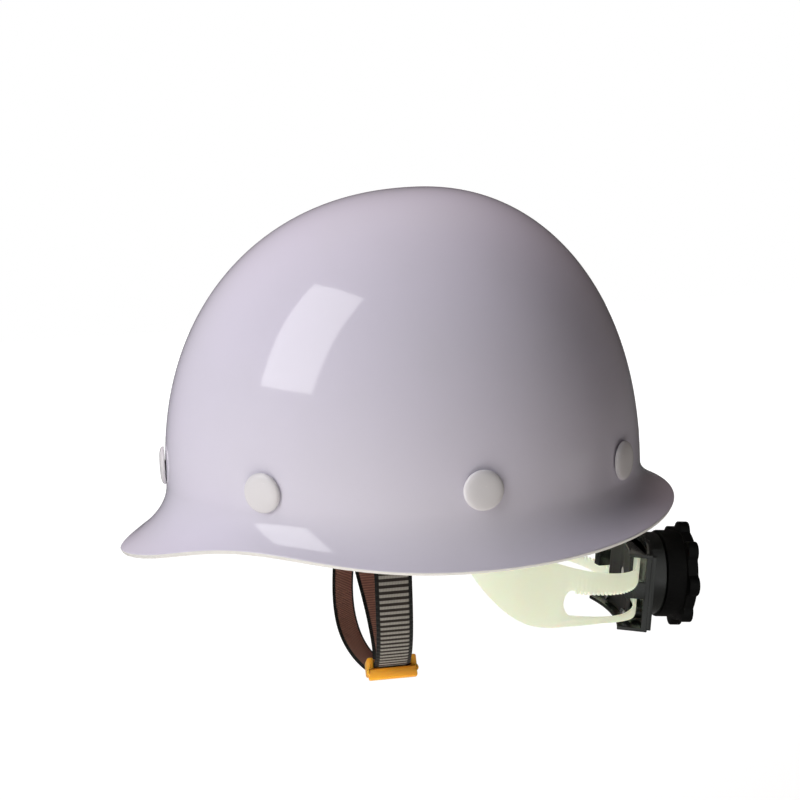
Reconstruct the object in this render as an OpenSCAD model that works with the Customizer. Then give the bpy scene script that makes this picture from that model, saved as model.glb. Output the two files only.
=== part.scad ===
// Cap-style safety helmet with a glass-fibre shell, a webbing cradle, a nape adjuster and a chin strap.
// The front is -Y, the rear is +Y and the wearer's left is +X. The origin is the centre of the head
// opening, level with the shell's rim over the ears.

/* [Shell] */
// Space from the headband's inside to the shell's outside over the ears
side_space = 22.2; // [18:0.1:30]
// Half length of the dome
dome_half_l = 118.5; // [114:0.5:130]
// How far the dome's plan is egg shaped, wider at the rear
dome_egg = 11; // [6:0.5:14]
// Height of the dome above its waist
dome_h = 138.5; // [132:0.5:150]
// Fullness of the dome's profile, where 2 is an ellipse
dome_power = 2.17; // [2.05:0.01:2.4]
// Height of the waist, below which the brim flares out
waist_z = 25; // [20:1:28]
// Thickness of the shell
wall = 2.8; // [2:0.1:3.4]
// Overhang of the front peak
brim_front = 25; // [16:1:34]
// Overhang of the brim over the ears
brim_side = 10.2; // [6:0.2:16]
// Overhang of the brim at the nape
brim_rear = 17; // [8:0.5:26]
// Angle over which the peak narrows to each side
peak_angle = 21; // [16:1:40]
// Height of the peak's edge
rim_front_z = -6.7; // [-9:0.1:4]
// Height by which the rim arches up at the temples
rim_temple_rise = 12; // [0:0.2:12]
// Height of the rim at the nape
rim_rear_z = 7.3; // [0:0.1:12]

/* [Rivets] */
// Height of the row of rivets
rivet_z = 34; // [33:0.5:40]
// Radius of a rivet's domed head
rivet_head_r = 9.3; // [7:0.1:11]
// Height of a rivet's domed head
rivet_head_h = 2.5; // [2:0.1:4]
// Radius of a rivet's shank
rivet_shank_r = 2.4; // [1.8:0.1:3]
// Radius of a rivet washer
washer_r = 7.5; // [6:0.1:8.5]
// Thickness of a rivet washer
washer_t = 1.5; // [1:0.1:2]

/* [Cradle] */
// Width of the crown webbing
crown_strap_w = 20; // [16:1:22]
// Thickness of all webbing
webbing_t = 1.3; // [1:0.1:1.5]
// Height of the crossing under the crown
crown_z = 124; // [112:1:128]
// Half width inside the headband
band_half_w = 79.3; // [78.5:0.1:80.5]
// Half length inside the headband
band_half_l = 100; // [96:1:103]
// Thickness of the headband
band_t = 1.6; // [1.2:0.1:1.8]
// Lower edge of the headband
band_low_z = 7; // [6:0.5:10]
// Upper edge of the headband
band_high_z = 31; // [29:0.5:32]
// How far the headband runs back past the ears
band_tail_y = 24; // [22:1:30]
// Width of a headband hanger
hanger_w = 13; // [10:1:16]
// Thickness of a headband hanger
hanger_t = 1.5; // [1.2:0.1:2]
// Thickness of the sweatband at its crown
sweat_t = 5; // [3:0.5:7]
// Height of the sweatband
sweat_h = 34; // [26:1:36]

/* [Nape strap] */
// Height of the pinion's centre, which sets how low the adjuster hangs
pinion_z = -41.7; // [-46:0.1:-38]
// Distance of the pinion behind the origin
pinion_y = 106; // [103:0.5:109]
// Tilt of the nape assembly
nape_tilt = 6; // [2:0.5:9]
// Radius of the arc that both racks follow through the channel
rack_arc_r = 96; // [95:0.5:98]
// Thickness of the nape strap
strap_t = 1.4; // [1.2:0.1:1.5]
// Height of the strap's upper edge above the pinion's centre
strap_top_w = 13.5; // [11:0.5:14]
// Depth of the strap's lower edge below the pinion's centre
strap_low_w = 11.5; // [9.5:0.5:14]
// Half height of the slot, to the roots of its teeth
slot_half_w = 6.2; // [6.1:0.05:6.4]
// Height of the rack teeth
tooth_h = 1.9; // [1.7:0.05:1.95]
// Pitch of the rack teeth
tooth_pitch = 2.6; // [2.55:0.01:2.65]

/* [Adjuster] */
// Half width of the channel
channel_half_w = 29.5; // [28:0.5:32]
// Height of the channel's top above the pinion's centre
channel_top_w = 17.6; // [16:0.1:19]
// Depth of the channel's foot below the pinion's centre
channel_low_w = 22.4; // [21:0.1:24]
// Thickness of the channel's walls
channel_wall = 1.8; // [1.4:0.1:2.2]
// Length of the hub
hub_l = 10; // [9:0.5:13]
// Radius of the knob's drum
knob_drum_r = 22.5; // [21:0.1:24]
// Length of the knob's drum
knob_drum_l = 10; // [8:0.5:16]
// Radius over the knob's lobes
knob_lobe_r = 27.8; // [26:0.1:31]
// Length of the knob's lobed flange
knob_flange_l = 5.5; // [5:0.5:11]
// Number of lobes on the knob
knob_lobes = 8; // [6:1:10]
// Radius of the shaft
shaft_r = 3.1; // [2.6:0.1:3.4]

/* [Chin strap] */
// Width of the chin webbing
chin_strap_w = 17.4; // [15:0.2:19]
// Distance of the studs ahead of the ears
chin_y = 29.3; // [26:0.1:32]
// Height of the studs on which the hooks swing
chin_stud_z = 16; // [15:0.5:18]
// Depth of the loop's lowest point below the hooks' bars
chin_drop = 81; // [70:0.5:95]
// How far the far branch bulges forward
chin_bulge = 10.8; // [9:0.1:12]
// Twist of the far branch where it bulges
chin_twist = 47; // [40:1:54]
// Width of the slider across the webbing
slider_w = 24; // [23:0.5:28]
// Length of the slider along the webbing
slider_l = 14; // [12:0.5:15]
// Thickness of the slider's grip, the thick bar at its upper end
slider_grip = 5.2; // [3:0.1:7]

/* [Hidden] */
$fn = 96;

// Plan angles of the rivets, from the wearer's left ear towards the nape
rivet_angles = [-90, -43, 5, 50, 90, 130, 175, 223];
// Plan angles of the rivets that also hold a headband hanger
hanger_angles = [-90, -43, 5, 175, 223];
// Half width of the dome over the ears
dome_half_w = band_half_w + side_space;
// Clearances: between bodies that swing, between touching pieces, and round a pin
swing_gap = 0.3;
seat_gap = 0.1;
pin_gap = 0.06;
// Space between the shell's curved inside and the flat pieces riveted to it
strap_seat = 1.8;
// Depths below the shell's outside of what the rivets hold
strap_depth = wall + strap_seat;
hanger_depth = strap_depth + webbing_t + seat_gap;
washer_depth = hanger_depth + hanger_t + seat_gap;
clench_depth = washer_depth + washer_t + seat_gap;
clench_t = 1.4;

function clamp01(v) = min(1, max(0, v));
function smooth(v) = let(c = clamp01(v)) c * c * (3 - 2 * c);
function unit(v) = v / norm(v);

// The two triangles of a quad whose corners run clockwise as seen from outside
function quad(a, b, c, d) = [[a, b, c], [a, c, d]];

// Closed skin of a bar: ring_n rings of side_n points each, the rings' points running clockwise as
// seen from the bar's start
function bar_faces(ring_n, side_n) = concat(
    [for (i = [1:side_n - 2]) [0, i, i + 1]],
    [for (i = [1:side_n - 2]) let(e = (ring_n - 1) * side_n) [e, e + i + 1, e + i]],
    [for (k = [0:ring_n - 2], i = [0:side_n - 1])
        let(a = k * side_n + i, b = k * side_n + (i + 1) % side_n)
        each quad(a, a + side_n, b + side_n, b)]);

module bar(rings) {
    polyhedron([for (ring = rings) each ring], bar_faces(len(rings), len(rings[0])), convexity = 10);
}

// Rectangle of webbing across a path: across is the webbing's width and face its outer side
function webbing_ring(p, across, face, w, t) = [
    p + across * w / 2 + face * t / 2,
    p - across * w / 2 + face * t / 2,
    p - across * w / 2 - face * t / 2,
    p + across * w / 2 - face * t / 2];

// Shell: t is the plan angle from the left ear, seen from above
function plan_x(t) = dome_half_w * cos(t);
function plan_y(t) = dome_half_l * sin(t) - dome_egg * pow(sin(t), 2);
function plan_normal(t) = unit([
    dome_half_l * cos(t) - 2 * dome_egg * sin(t) * cos(t),
    dome_half_w * sin(t), 0]);
function from_front(t) = abs((t + 270) % 360 - 180);
function bump(a, middle, spread) = exp(-pow((a - middle) / spread, 2));
function brim(t) = brim_side + (brim_front - brim_side) * exp(-pow(from_front(t) / peak_angle, 1.6))
    + (brim_rear - brim_side) * pow(max(0, sin(t)), 1.2);
function rim_z(t) = let(a = from_front(t))
    rim_front_z * bump(a, 0, 50) + rim_temple_rise * bump(a, 43, 26.5)
    + rim_rear_z * pow(max(0, sin(t)), 2);

// Share of the overhang reached at v, from the waist (0) down to the rim (1), and its slope
function flare(v) = 0.3 * v * v * (3 - 2 * v) + 0.7 * pow(v, 3.1);
function flare_slope(v) = 1.8 * v * (1 - v) + 2.17 * pow(v, 2.1);

function flare_point(t, v, depth) = let(
        out = [cos(t), sin(t), 0],
        drop = waist_z - rim_z(t),
        side = unit([drop, brim(t) * flare_slope(v)]),
        reach = brim(t) * flare(v) - depth * side[0])
    [plan_x(t), plan_y(t), waist_z - drop * v - depth * side[1]] + out * reach;

function dome_point(t, lift, depth) = let(share = pow(cos(lift), 2 / dome_power)) [
    (dome_half_w - depth) * share * cos(t),
    ((dome_half_l - depth) * sin(t) - dome_egg * pow(sin(t), 2)) * share,
    waist_z + (dome_h - depth) * pow(sin(lift), 2 / dome_power)];

shell_cols = 80;
flare_rows = 10;
dome_rows = 19;
shell_rows = flare_rows + dome_rows;
// The dome's rows crowd towards the waist and the crown, where the profile bends most
function dome_lift(k) = 90 * k / dome_rows;
function shell_row(i, depth) = [for (j = [0:shell_cols - 1]) let(t = 360 * j / shell_cols)
    i < flare_rows ? flare_point(t, 1 - i / flare_rows, depth)
        : dome_point(t, dome_lift(i - flare_rows), depth)];
function shell_skin(depth) = concat(
    [for (i = [0:shell_rows - 1]) each shell_row(i, depth)],
    [[0, 0, waist_z + dome_h - depth]]);
shell_skin_n = shell_rows * shell_cols + 1;

function shell_faces() = let(n = shell_cols, last = shell_rows * n, inner = shell_skin_n) concat(
    [for (i = [0:shell_rows - 2], j = [0:n - 1]) let(a = i * n + j, b = i * n + (j + 1) % n)
        each quad(a, a + n, b + n, b)],
    [for (j = [0:n - 1]) let(r = last - n) [r + j, last, r + (j + 1) % n]],
    [for (i = [0:shell_rows - 2], j = [0:n - 1])
        let(a = inner + i * n + j, b = inner + i * n + (j + 1) % n)
        each quad(a, b, b + n, a + n)],
    [for (j = [0:n - 1]) let(r = inner + last - n) [r + j, r + (j + 1) % n, inner + last]],
    [for (j = [0:n - 1]) let(b = (j + 1) % n) each quad(j, b, inner + b, inner + j)]);

// Puts what is drawn along +Z on the shell's outside at a rivet, pointing out
module at_rivet(t) {
    way = plan_normal(t);
    translate([plan_x(t), plan_y(t), rivet_z])
        rotate([0, 90, atan2(way[1], way[0])])
            children();
}

module shell() {
    color("gainsboro") difference() {
        polyhedron(concat(shell_skin(0), shell_skin(wall)), shell_faces(), convexity = 8);
        for (t = rivet_angles) at_rivet(t)
            translate([0, 0, -2 * wall])
                cylinder(r = rivet_shank_r + pin_gap, h = 4 * wall);
    }
}

// Half section of a rivet: domed head, shank and clenched end
module rivet_half() {
    head_ball = (rivet_head_r * rivet_head_r + rivet_head_h * rivet_head_h) / (2 * rivet_head_h);
    clench_r = 1.8 * rivet_shank_r;
    intersection() {
        translate([0, rivet_head_h - head_ball + seat_gap]) circle(r = head_ball);
        translate([0, seat_gap]) square([rivet_head_r, rivet_head_h]);
    }
    translate([0, -clench_depth]) square([rivet_shank_r, clench_depth + 2 * seat_gap]);
    translate([0, -clench_depth - clench_t]) square([clench_r, clench_t]);
}

module rivets() {
    color("whitesmoke") for (t = rivet_angles) at_rivet(t) rotate_extrude() rivet_half();
}

module rivet_washers() {
    color("silver") for (t = rivet_angles) at_rivet(t) difference() {
        translate([0, 0, -washer_depth - washer_t]) cylinder(r = washer_r, h = washer_t);
        translate([0, 0, -clench_depth]) cylinder(r = rivet_shank_r + pin_gap, h = clench_depth);
    }
}

// Crown webbing: u runs from -1 at one rivet over the crown to 1 at the other
crown_y = -4;
strap_end_z = rivet_z - 8;
strap_bend_z = rivet_z + 6;
strap_rings = 34;
strap_bend_u = 0.8;
crossing_gap = 0.5;
function crown_foot(t) = let(way = plan_normal(t))
    [plan_x(t), plan_y(t), 0] - way * (strap_depth + webbing_t / 2);
function crown_share(u) = abs(u) > strap_bend_u ? 1 : pow(sin(90 * abs(u) / strap_bend_u), 0.95);
function crown_height(u, top) = abs(u) > strap_bend_u
    ? strap_bend_z - (strap_bend_z - strap_end_z) * (abs(u) - strap_bend_u) / (1 - strap_bend_u)
    : strap_bend_z + (top - strap_bend_z) * pow(cos(90 * abs(u) / strap_bend_u), 0.95);
function crown_point(u, t1, t2, top) = let(
        centre = [0, crown_y, 0],
        foot = crown_foot(u < 0 ? t1 : t2),
        flat_p = centre + (foot - centre) * crown_share(u))
    [flat_p[0], flat_p[1], crown_height(u, top)];
// Across the webbing the strap turns from square to the shell at a rivet to square to its run
function crown_across(u, t1, t2) = let(
        n1 = plan_normal(t1), n2 = plan_normal(t2),
        at_end = u < 0 ? [n1[1], -n1[0], 0] : [-n2[1], n2[0], 0],
        run = crown_foot(t2) - crown_foot(t1),
        at_top = unit([-run[1], run[0], 0]),
        mix = smooth((abs(u) - 0.15) / (strap_bend_u - 0.15)))
    unit(at_end * mix + at_top * (1 - mix));

module crown_strap(t1, t2, layer) {
    top = crown_z - layer * (webbing_t + crossing_gap);
    us = concat([-1], [for (k = [0:strap_rings]) strap_bend_u * (2 * k / strap_rings - 1)], [1]);
    difference() {
        bar([for (u = us) let(
                step = 0.01,
                along = unit(crown_point(min(1, u + step), t1, t2, top)
                    - crown_point(max(-1, u - step), t1, t2, top)),
                across0 = crown_across(u, t1, t2),
                across = unit(across0 - along * (across0 * along)),
                face = cross(along, across))
            webbing_ring(crown_point(u, t1, t2, top), across, face, crown_strap_w, webbing_t)]);
        for (t = [t1, t2]) at_rivet(t)
            translate([0, 0, -clench_depth]) cylinder(r = rivet_shank_r + pin_gap, h = clench_depth);
    }
}

module crown_strap_middle() {
    color("lightgray") crown_strap(-90, 90, 0);
}

module crown_strap_left() {
    color("lightgray") crown_strap(-43, 130, 1);
}

module crown_strap_side() {
    color("lightgray") crown_strap(5, 175, 2);
}

module crown_strap_right() {
    color("lightgray") crown_strap(223, 50, 3);
}

// Headband: an ellipse round the forehead that runs straight back past the ears
function band_point(s, off) = [(band_half_w + off) * cos(s), (band_half_l + off) * sin(s)];
module band_outline(off) {
    side_x = band_half_w + off;
    polygon(concat(
        [[-side_x, band_tail_y]],
        [for (s = [-180:3:0]) band_point(s, off)],
        [[side_x, band_tail_y]]));
}

// Distance from the shell's outside to the headband, inwards along a rivet's axis
function band_gap(t) = let(
        a = band_half_w + band_t, b = band_half_l + band_t,
        way = plan_normal(t),
        qa = pow(way[0] / a, 2) + pow(way[1] / b, 2),
        qb = -2 * (plan_x(t) * way[0] / (a * a) + plan_y(t) * way[1] / (b * b)),
        qc = pow(plan_x(t) / a, 2) + pow(plan_y(t) / b, 2) - 1)
    plan_y(t) > 0 ? (plan_x(t) * sign(way[0]) - a) / abs(way[0])
        : (-qb - sqrt(qb * qb - 4 * qa * qc)) / (2 * qa);

// Height and radius of the snap pegs that hold the hangers in the headband
peg_z = band_low_z + 12;
peg_r = 2.6;
peg_head_r = 3.6;
hanger_low = rivet_z - peg_z + 5;
// Where a hanger starts above its rivet and bridges inwards below it, and its gap to the headband
hanger_top = 7;
bridge_x = 10;
leg_gap = 0.8;
// Cutters for the holes through the headband reach this far to each side of its face
band_cut = 10;

// The hinge bead at each front end of the nape strap, and the socket that holds it
bead_inset = 1.3;
strap_side_r = band_half_w - bead_inset;
bead_r = 1.7;
bead_low_w = 26;
bead_high_w = 43;
socket_r = 3.3;
socket_low_w = bead_low_w + 12.4;
socket_high_w = bead_high_w + 2;

// Frame of the nape assembly: its Z axis is the axis of the rack arc, level with the pinion
module nape_frame() {
    translate([0, pinion_y, pinion_z])
        rotate([-nape_tilt, 0, 0])
            translate([0, -rack_arc_r, 0])
                children();
}

module bead_socket(side) {
    nape_frame() translate([side * strap_side_r, 0, socket_low_w]) difference() {
        cylinder(r = socket_r, h = socket_high_w - socket_low_w);
        translate([0, 0, -1]) cylinder(r = bead_r + pin_gap, h = socket_high_w - socket_low_w + 2);
    }
}

module headband() {
    color("honeydew") difference() {
        union() {
            difference() {
                translate([0, 0, band_low_z])
                    linear_extrude(height = band_high_z - band_low_z) band_outline(band_t);
                translate([0, 0, band_low_z - 1])
                    linear_extrude(height = band_high_z - band_low_z + 2) union() {
                        band_outline(0);
                        translate([-band_half_w, band_tail_y - 1]) square([2 * band_half_w, 4]);
                    }
            }
            for (side = [-1, 1]) bead_socket(side);
        }
        for (side = [-1, 1]) nape_frame() translate([side * strap_side_r, 0, bead_low_w])
            cylinder(r = bead_r + pin_gap, h = 2 * (bead_high_w - bead_low_w));
        for (t = hanger_angles) at_rivet(t)
            translate([rivet_z - peg_z, 0, -band_gap(t) - band_cut])
                cylinder(r = peg_r + seat_gap, h = 2 * band_cut);
        for (side = [-1, 1]) chin_stud_frame(side)
            translate([0, 0, -band_cut]) cylinder(r = chin_stud_r + seat_gap, h = 2 * band_cut);
    }
}

// A hanger hangs from the rivet, bridges inwards below it and snaps into the headband.
// In the rivet's frame +X is down and +Z is out.
module hanger(t) {
    reach = band_gap(t);
    at_rivet(t) difference() {
        union() {
            translate([-hanger_top, -hanger_w / 2, -hanger_depth - hanger_t])
                cube([hanger_top + bridge_x, hanger_w, hanger_t]);
            translate([bridge_x - hanger_t, -hanger_w / 2, -reach + leg_gap])
                cube([hanger_t, hanger_w, reach - leg_gap - hanger_depth]);
            translate([bridge_x - hanger_t, -hanger_w / 2, -reach + leg_gap])
                cube([hanger_low - bridge_x + hanger_t, hanger_w, hanger_t]);
            translate([rivet_z - peg_z, 0, -reach - band_t - 0.6])
                cylinder(r = peg_r, h = band_t + 0.6 + leg_gap + hanger_t / 2);
            translate([rivet_z - peg_z, 0, -reach - band_t - 1.2])
                cylinder(r = peg_head_r, h = 0.9);
        }
        translate([0, 0, -clench_depth]) cylinder(r = rivet_shank_r + pin_gap, h = clench_depth);
    }
}

module headband_hangers() {
    color("ivory") for (t = hanger_angles) hanger(t);
}

// Sweatband: a pad with a crowned face and drawn-in edges, inside the headband's front
sweat_from = -156;
sweat_to = -24;
sweat_rings = 44;
sweat_back_gap = 2;
sweat_back_bulge = 0.4;
function sweat_ring(s, k) = let(
        // The pad thins towards its two ends
        fade = pow(sin(180 * (0.06 + 0.88 * k / sweat_rings)), 0.35),
        mid_z = (band_low_z + band_high_z) / 2)
    [for (i = [0:9]) let(
            angle = -36 * i,
            // The back is almost flat against the headband and the face is crowned
            deep = sin(angle) > 0 ? sweat_t * fade * pow(sin(angle), 0.7)
                : -sweat_back_bulge * pow(-sin(angle), 0.7),
            tall = sweat_h / 2 * fade * sign(cos(angle)) * pow(abs(cos(angle)), 0.6),
            p = band_point(s, -sweat_back_gap - deep))
        [p[0], p[1], mid_z + tall]];

module sweatband() {
    color("dimgray") bar([for (k = [0:sweat_rings])
        sweat_ring(sweat_from + (sweat_to - sweat_from) * k / sweat_rings, k)]);
}

// Nape strap, in the nape frame: angle a runs from 0 at the pinion past 90 at the hinge bead.
// The left strap is drawn as it lies; the right one is its mirror image in X, with its rack below.
left_layer = -1;
right_layer = 1;
layer_step = 1.2;
bend_start = 26;
bend_span = 42;
slot_end = 58.5;
slot_round = 3.2;
// How far the upper edge climbs to the hinge and the level at which it stops, how far the lower edge
// climbs past the channel and then to the hinge, and how far the slot climbs with the strap
top_climb = 34.5;
top_crest = 38;
waist_climb = 3.5;
low_climb = 34;
slot_climb = 4.2;
strap_front = 95;
tooth_step = tooth_pitch / rack_arc_r * 180 / PI;
// Where the strap stops past the pinion, and where its slot starts
strap_stop = -5.7;
slot_start = -3 * tooth_step;
function strap_r(a) = strap_side_r
    + (rack_arc_r - strap_side_r) * (1 - smooth((a - bend_start) / bend_span));
function layer_r(a, layer) = strap_r(a)
    + layer * layer_step * (1 - smooth((a - bend_start) / bend_span));
function strap_upper(a) = min(strap_top_w + top_climb * pow(clamp01((a - 20) / 77), 2),
    top_crest - 1.6 * max(0, a - 88));
function strap_lower(a) = -strap_low_w + waist_climb * clamp01((a - 24) / 20)
    + low_climb * pow(clamp01((a - 60) / 37), 2.2);
function slot_mid(a) = let(
        slot = slot_climb * pow(clamp01((a - 34) / 24), 1.3),
        solid = (strap_lower(a) + strap_upper(a)) / 2)
    slot + (solid - slot) * clamp01((a - slot_end) / 14);
function slot_half(a) = let(into = (a - (slot_end - slot_round)) / slot_round)
    into <= 0 ? slot_half_w : max(0.5, slot_half_w * sqrt(max(0, 1 - into * into)));

// The rings of one strap: angles, where odd rings inside the slot carry a tooth's tip
function strap_angles() = concat(
    [strap_stop],
    [for (a = [slot_start:tooth_step / 2:slot_end - 0.01]) a],
    [slot_end],
    [for (a = [slot_end + 3:3:strap_front - 1]) a],
    [strap_front]);
function is_tip(i, angles) = i % 2 == 0 && angles[i] > slot_start
    && angles[i] < slot_end - slot_round - tooth_step;

// Levels of one ring, from the lower edge to the upper: edge, slot, slot, edge
function strap_levels(a, tip, rack_side) = let(mid = slot_mid(a), half = slot_half(a)) rack_side > 0
    ? [strap_lower(a), mid - half, mid + half - (tip ? tooth_h : 0), strap_upper(a)]
    : [strap_lower(a), mid - half + (tip ? tooth_h : 0), mid + half, strap_upper(a)];

function strap_points(layer, rack_side) = let(angles = strap_angles())
    [for (i = [0:len(angles) - 1]) let(
            a = angles[i], r = layer_r(a, layer),
            levels = strap_levels(a, is_tip(i, angles), rack_side))
        each concat(
            [for (w = levels) [(r + strap_t / 2) * sin(a), (r + strap_t / 2) * cos(a), w]],
            [for (w = levels) [(r - strap_t / 2) * sin(a), (r - strap_t / 2) * cos(a), w]])];

function strap_faces() = let(
        angles = strap_angles(),
        n = len(angles),
        first = 1,
        last = search(slot_end, angles)[0])
    concat(
        // Outer and inner faces, in three bands of which the middle one leaves the slot open
        [for (i = [0:n - 2], band = [0:2]) if (band != 1 || i < first || i >= last)
            let(p = 8 * i + band, q = p + 8)
            each concat(quad(p, q, q + 1, p + 1), quad(p + 4, p + 5, q + 5, q + 4))],
        // Lower and upper edges
        [for (i = [0:n - 2]) let(p = 8 * i, q = p + 8)
            each concat(quad(p, p + 4, q + 4, q), quad(p + 3, q + 3, q + 7, p + 7))],
        // Floor and roof of the slot
        [for (i = [first:last - 1]) let(p = 8 * i, q = p + 8)
            each concat(quad(p + 1, q + 1, q + 5, p + 5), quad(p + 2, p + 6, q + 6, q + 2))],
        // Ends of the slot
        quad(8 * first + 1, 8 * first + 5, 8 * first + 6, 8 * first + 2),
        quad(8 * last + 1, 8 * last + 2, 8 * last + 6, 8 * last + 5),
        // Ends of the strap
        [for (band = [0:2]) each concat(
            quad(band, band + 1, band + 5, band + 4),
            quad(8 * (n - 1) + band, 8 * (n - 1) + band + 4,
                8 * (n - 1) + band + 5, 8 * (n - 1) + band + 1))]);

module nape_strap(layer, rack_side) {
    union() {
        polyhedron(strap_points(layer, rack_side), strap_faces(), convexity = 10);
        translate([strap_side_r, 0, bead_low_w])
            cylinder(r = bead_r, h = bead_high_w - bead_low_w, $fn = 48);
    }
}

module nape_strap_left() {
    color("beige") nape_frame() nape_strap(left_layer, 1);
}

module nape_strap_right() {
    color("beige") nape_frame() mirror([1, 0, 0]) nape_strap(right_layer, -1);
}

// Adjuster, in the nape frame. Radii are from the axis of the rack arc.
inner_face_r = rack_arc_r - layer_step - strap_t / 2;
outer_face_r = rack_arc_r + layer_step + strap_t / 2;
wall_r = outer_face_r + 0.8;
back_r = wall_r + channel_wall + 0.8;
flange_r = back_r + 0.5;
cover_out_r = inner_face_r - 1.1;
cover_in_r = cover_out_r - channel_wall;
lip_top_r = cover_in_r - 1.4;
lip_foot_r = cover_in_r - 4.4;
channel_angle = asin(channel_half_w / rack_arc_r);
hub_r = channel_low_w - 0.55 * channel_wall;
hub_end = wall_r + hub_l;
recess_r = 15;
recess_l = 6;
// Screws that hold the cover, below the straps
cover_screw_x = 15;
cover_screw_w = -channel_low_w + 5.4;
cover_screw_r = 1.3;
screw_head_r = 2.4;
cover_angle = asin((cover_screw_x + screw_head_r + 0.9) / rack_arc_r);
// Cutters through the channel's whole depth are this long
channel_cut = 3 * (wall_r - cover_in_r);
// The rib that keeps the strap level in the channel's mouth
rib_h = 8.6;
rib_low = 5.1;
rib_reach = 5;
rib_angle = 16.2;
rib_in = 1;
rib_out = 4;

// A slice of ring round the rack arc, between two radii and two heights
module arc_slice(r1, r2, w1, w2, half_angle) {
    rotate([0, 0, 90 - half_angle])
        rotate_extrude(angle = 2 * half_angle)
            translate([r1, w1]) square([r2 - r1, w2 - w1]);
}

module adjuster_body() {
    color("black") nape_frame() difference() {
        union() {
            // Back wall, cut to a bow that rises to the hub
            intersection() {
                arc_slice(wall_r, back_r, -channel_low_w, channel_low_w, channel_angle);
                translate([0, back_r + 1, 0]) rotate([90, 0, 0]) linear_extrude(height = 20) polygon([
                    [-channel_half_w - 2, -channel_low_w + 0.5], [channel_half_w + 2, -channel_low_w + 0.5],
                    [channel_half_w + 2, channel_top_w - 0.4], [hub_r - 4, channel_top_w + 3],
                    [-hub_r + 4, channel_top_w + 3], [-channel_half_w - 2, channel_top_w - 0.4]]);
            }
            // Top and foot of the channel, with lips that reach inwards
            arc_slice(lip_top_r, flange_r, channel_top_w - channel_wall, channel_top_w, channel_angle);
            arc_slice(lip_foot_r, flange_r, -channel_low_w, -channel_low_w + channel_wall, channel_angle);
            // Ribs that stiffen the two mouths
            for (side = [-1, 1]) rotate([0, 0, side * (channel_angle - 1.5)])
                translate([-2, wall_r + 1, -channel_low_w + 0.9])
                    cube([4, channel_wall + 2.2, channel_low_w + channel_top_w - 1.8]);
            // Hub
            translate([0, hub_end, 0]) rotate([90, 0, 0]) cylinder(r = hub_r, h = hub_end - wall_r - 0.2);
            // Bosses for the cover screws
            for (x = [-cover_screw_x, cover_screw_x])
                translate([x, wall_r + 1, cover_screw_w]) rotate([90, 0, 0])
                    cylinder(r = 2.7, h = wall_r + 1 - cover_out_r - seat_gap);
            // Guide ribs in the two mouths
            for (side = [-1, 1]) rotate([0, 0, -side * rib_angle])
                translate([side > 0 ? -rib_in : -rib_out, inner_face_r - rib_reach,
                    side > 0 ? -rib_low : rib_low - rib_h])
                    cube([rib_in + rib_out, wall_r - inner_face_r + rib_reach + 0.6, rib_h]);
        }
        // Bearing for the shaft, and the toothed recess for the detent spring
        translate([0, hub_end + 1, 0]) rotate([90, 0, 0])
            cylinder(r = shaft_r + pin_gap, h = hub_l + channel_cut);
        translate([0, hub_end + 1, 0]) rotate([90, 0, 0])
            linear_extrude(height = recess_l + 1) polygon([for (i = [0:47])
                let(r = recess_r + (i % 2) * 1.2) [r * cos(7.5 * i), r * sin(7.5 * i)]]);
        // Pilot holes for the cover screws
        for (x = [-cover_screw_x, cover_screw_x])
            translate([x, wall_r + 0.5, cover_screw_w]) rotate([90, 0, 0])
                cylinder(r = cover_screw_r + pin_gap, h = channel_cut);
    }
}

module adjuster_cover() {
    color("dimgray") nape_frame() difference() {
        arc_slice(cover_in_r, cover_out_r, -channel_low_w + channel_wall + seat_gap,
            channel_top_w - channel_wall - seat_gap, cover_angle);
        translate([0, cover_out_r + 3, 0]) rotate([90, 0, 0])
            cylinder(r = shaft_r + pin_gap, h = channel_cut);
        for (x = [-cover_screw_x, cover_screw_x])
            translate([x, cover_out_r + 3, cover_screw_w]) rotate([90, 0, 0])
                cylinder(r = cover_screw_r + pin_gap, h = channel_cut);
    }
}

module cover_screws() {
    head_h = 1.6;
    head_y = sqrt(pow(cover_in_r, 2) - pow(cover_screw_x + screw_head_r, 2)) - seat_gap;
    color("silver") nape_frame() for (x = [-cover_screw_x, cover_screw_x]) {
        translate([x, head_y, cover_screw_w]) rotate([90, 0, 0]) cylinder(r = screw_head_r, h = head_h);
        translate([x, wall_r, cover_screw_w]) rotate([90, 0, 0])
            cylinder(r = cover_screw_r, h = wall_r - head_y + head_h / 2);
    }
}

// Knob, along the pinion's axis: the drum, the lobed flange and what is left past the shaft's end
knob_from = hub_end + swing_gap;
knob_flange_from = knob_from + knob_drum_l;
knob_end = knob_flange_from + knob_flange_l;
knob_wall = 2.4;
knob_nose = 5;
knob_seat_r = 4.6;
shaft_end = knob_end - knob_nose;
screw_bite = 10;

// Pinion: a star of pointed teeth that runs in both slots, on a shaft through cover and hub
pinion_teeth = 12;
pinion_pitch_r = pinion_teeth * tooth_pitch / (2 * PI);
pinion_tip_r = pinion_pitch_r + 0.3;
pinion_root_r = pinion_pitch_r - 1.2;
pinion_from = cover_out_r + 0.3;
pinion_to = wall_r - 0.3;

module pinion() {
    color("gray") nape_frame() difference() {
        union() {
            translate([0, pinion_to, 0]) rotate([90, 0, 0])
                linear_extrude(height = pinion_to - pinion_from)
                    polygon([for (i = [0:2 * pinion_teeth - 1])
                        let(r = i % 2 == 0 ? pinion_tip_r : pinion_root_r, a = 180 * i / pinion_teeth)
                        [r * sin(a), r * cos(a)]]);
            translate([0, shaft_end, 0]) rotate([90, 0, 0])
                cylinder(r = shaft_r, h = shaft_end - cover_in_r - 0.6);
        }
        translate([0, shaft_end + 1, 0]) rotate([90, 0, 0]) cylinder(r = 1.3, h = screw_bite + 2);
    }
}

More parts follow.
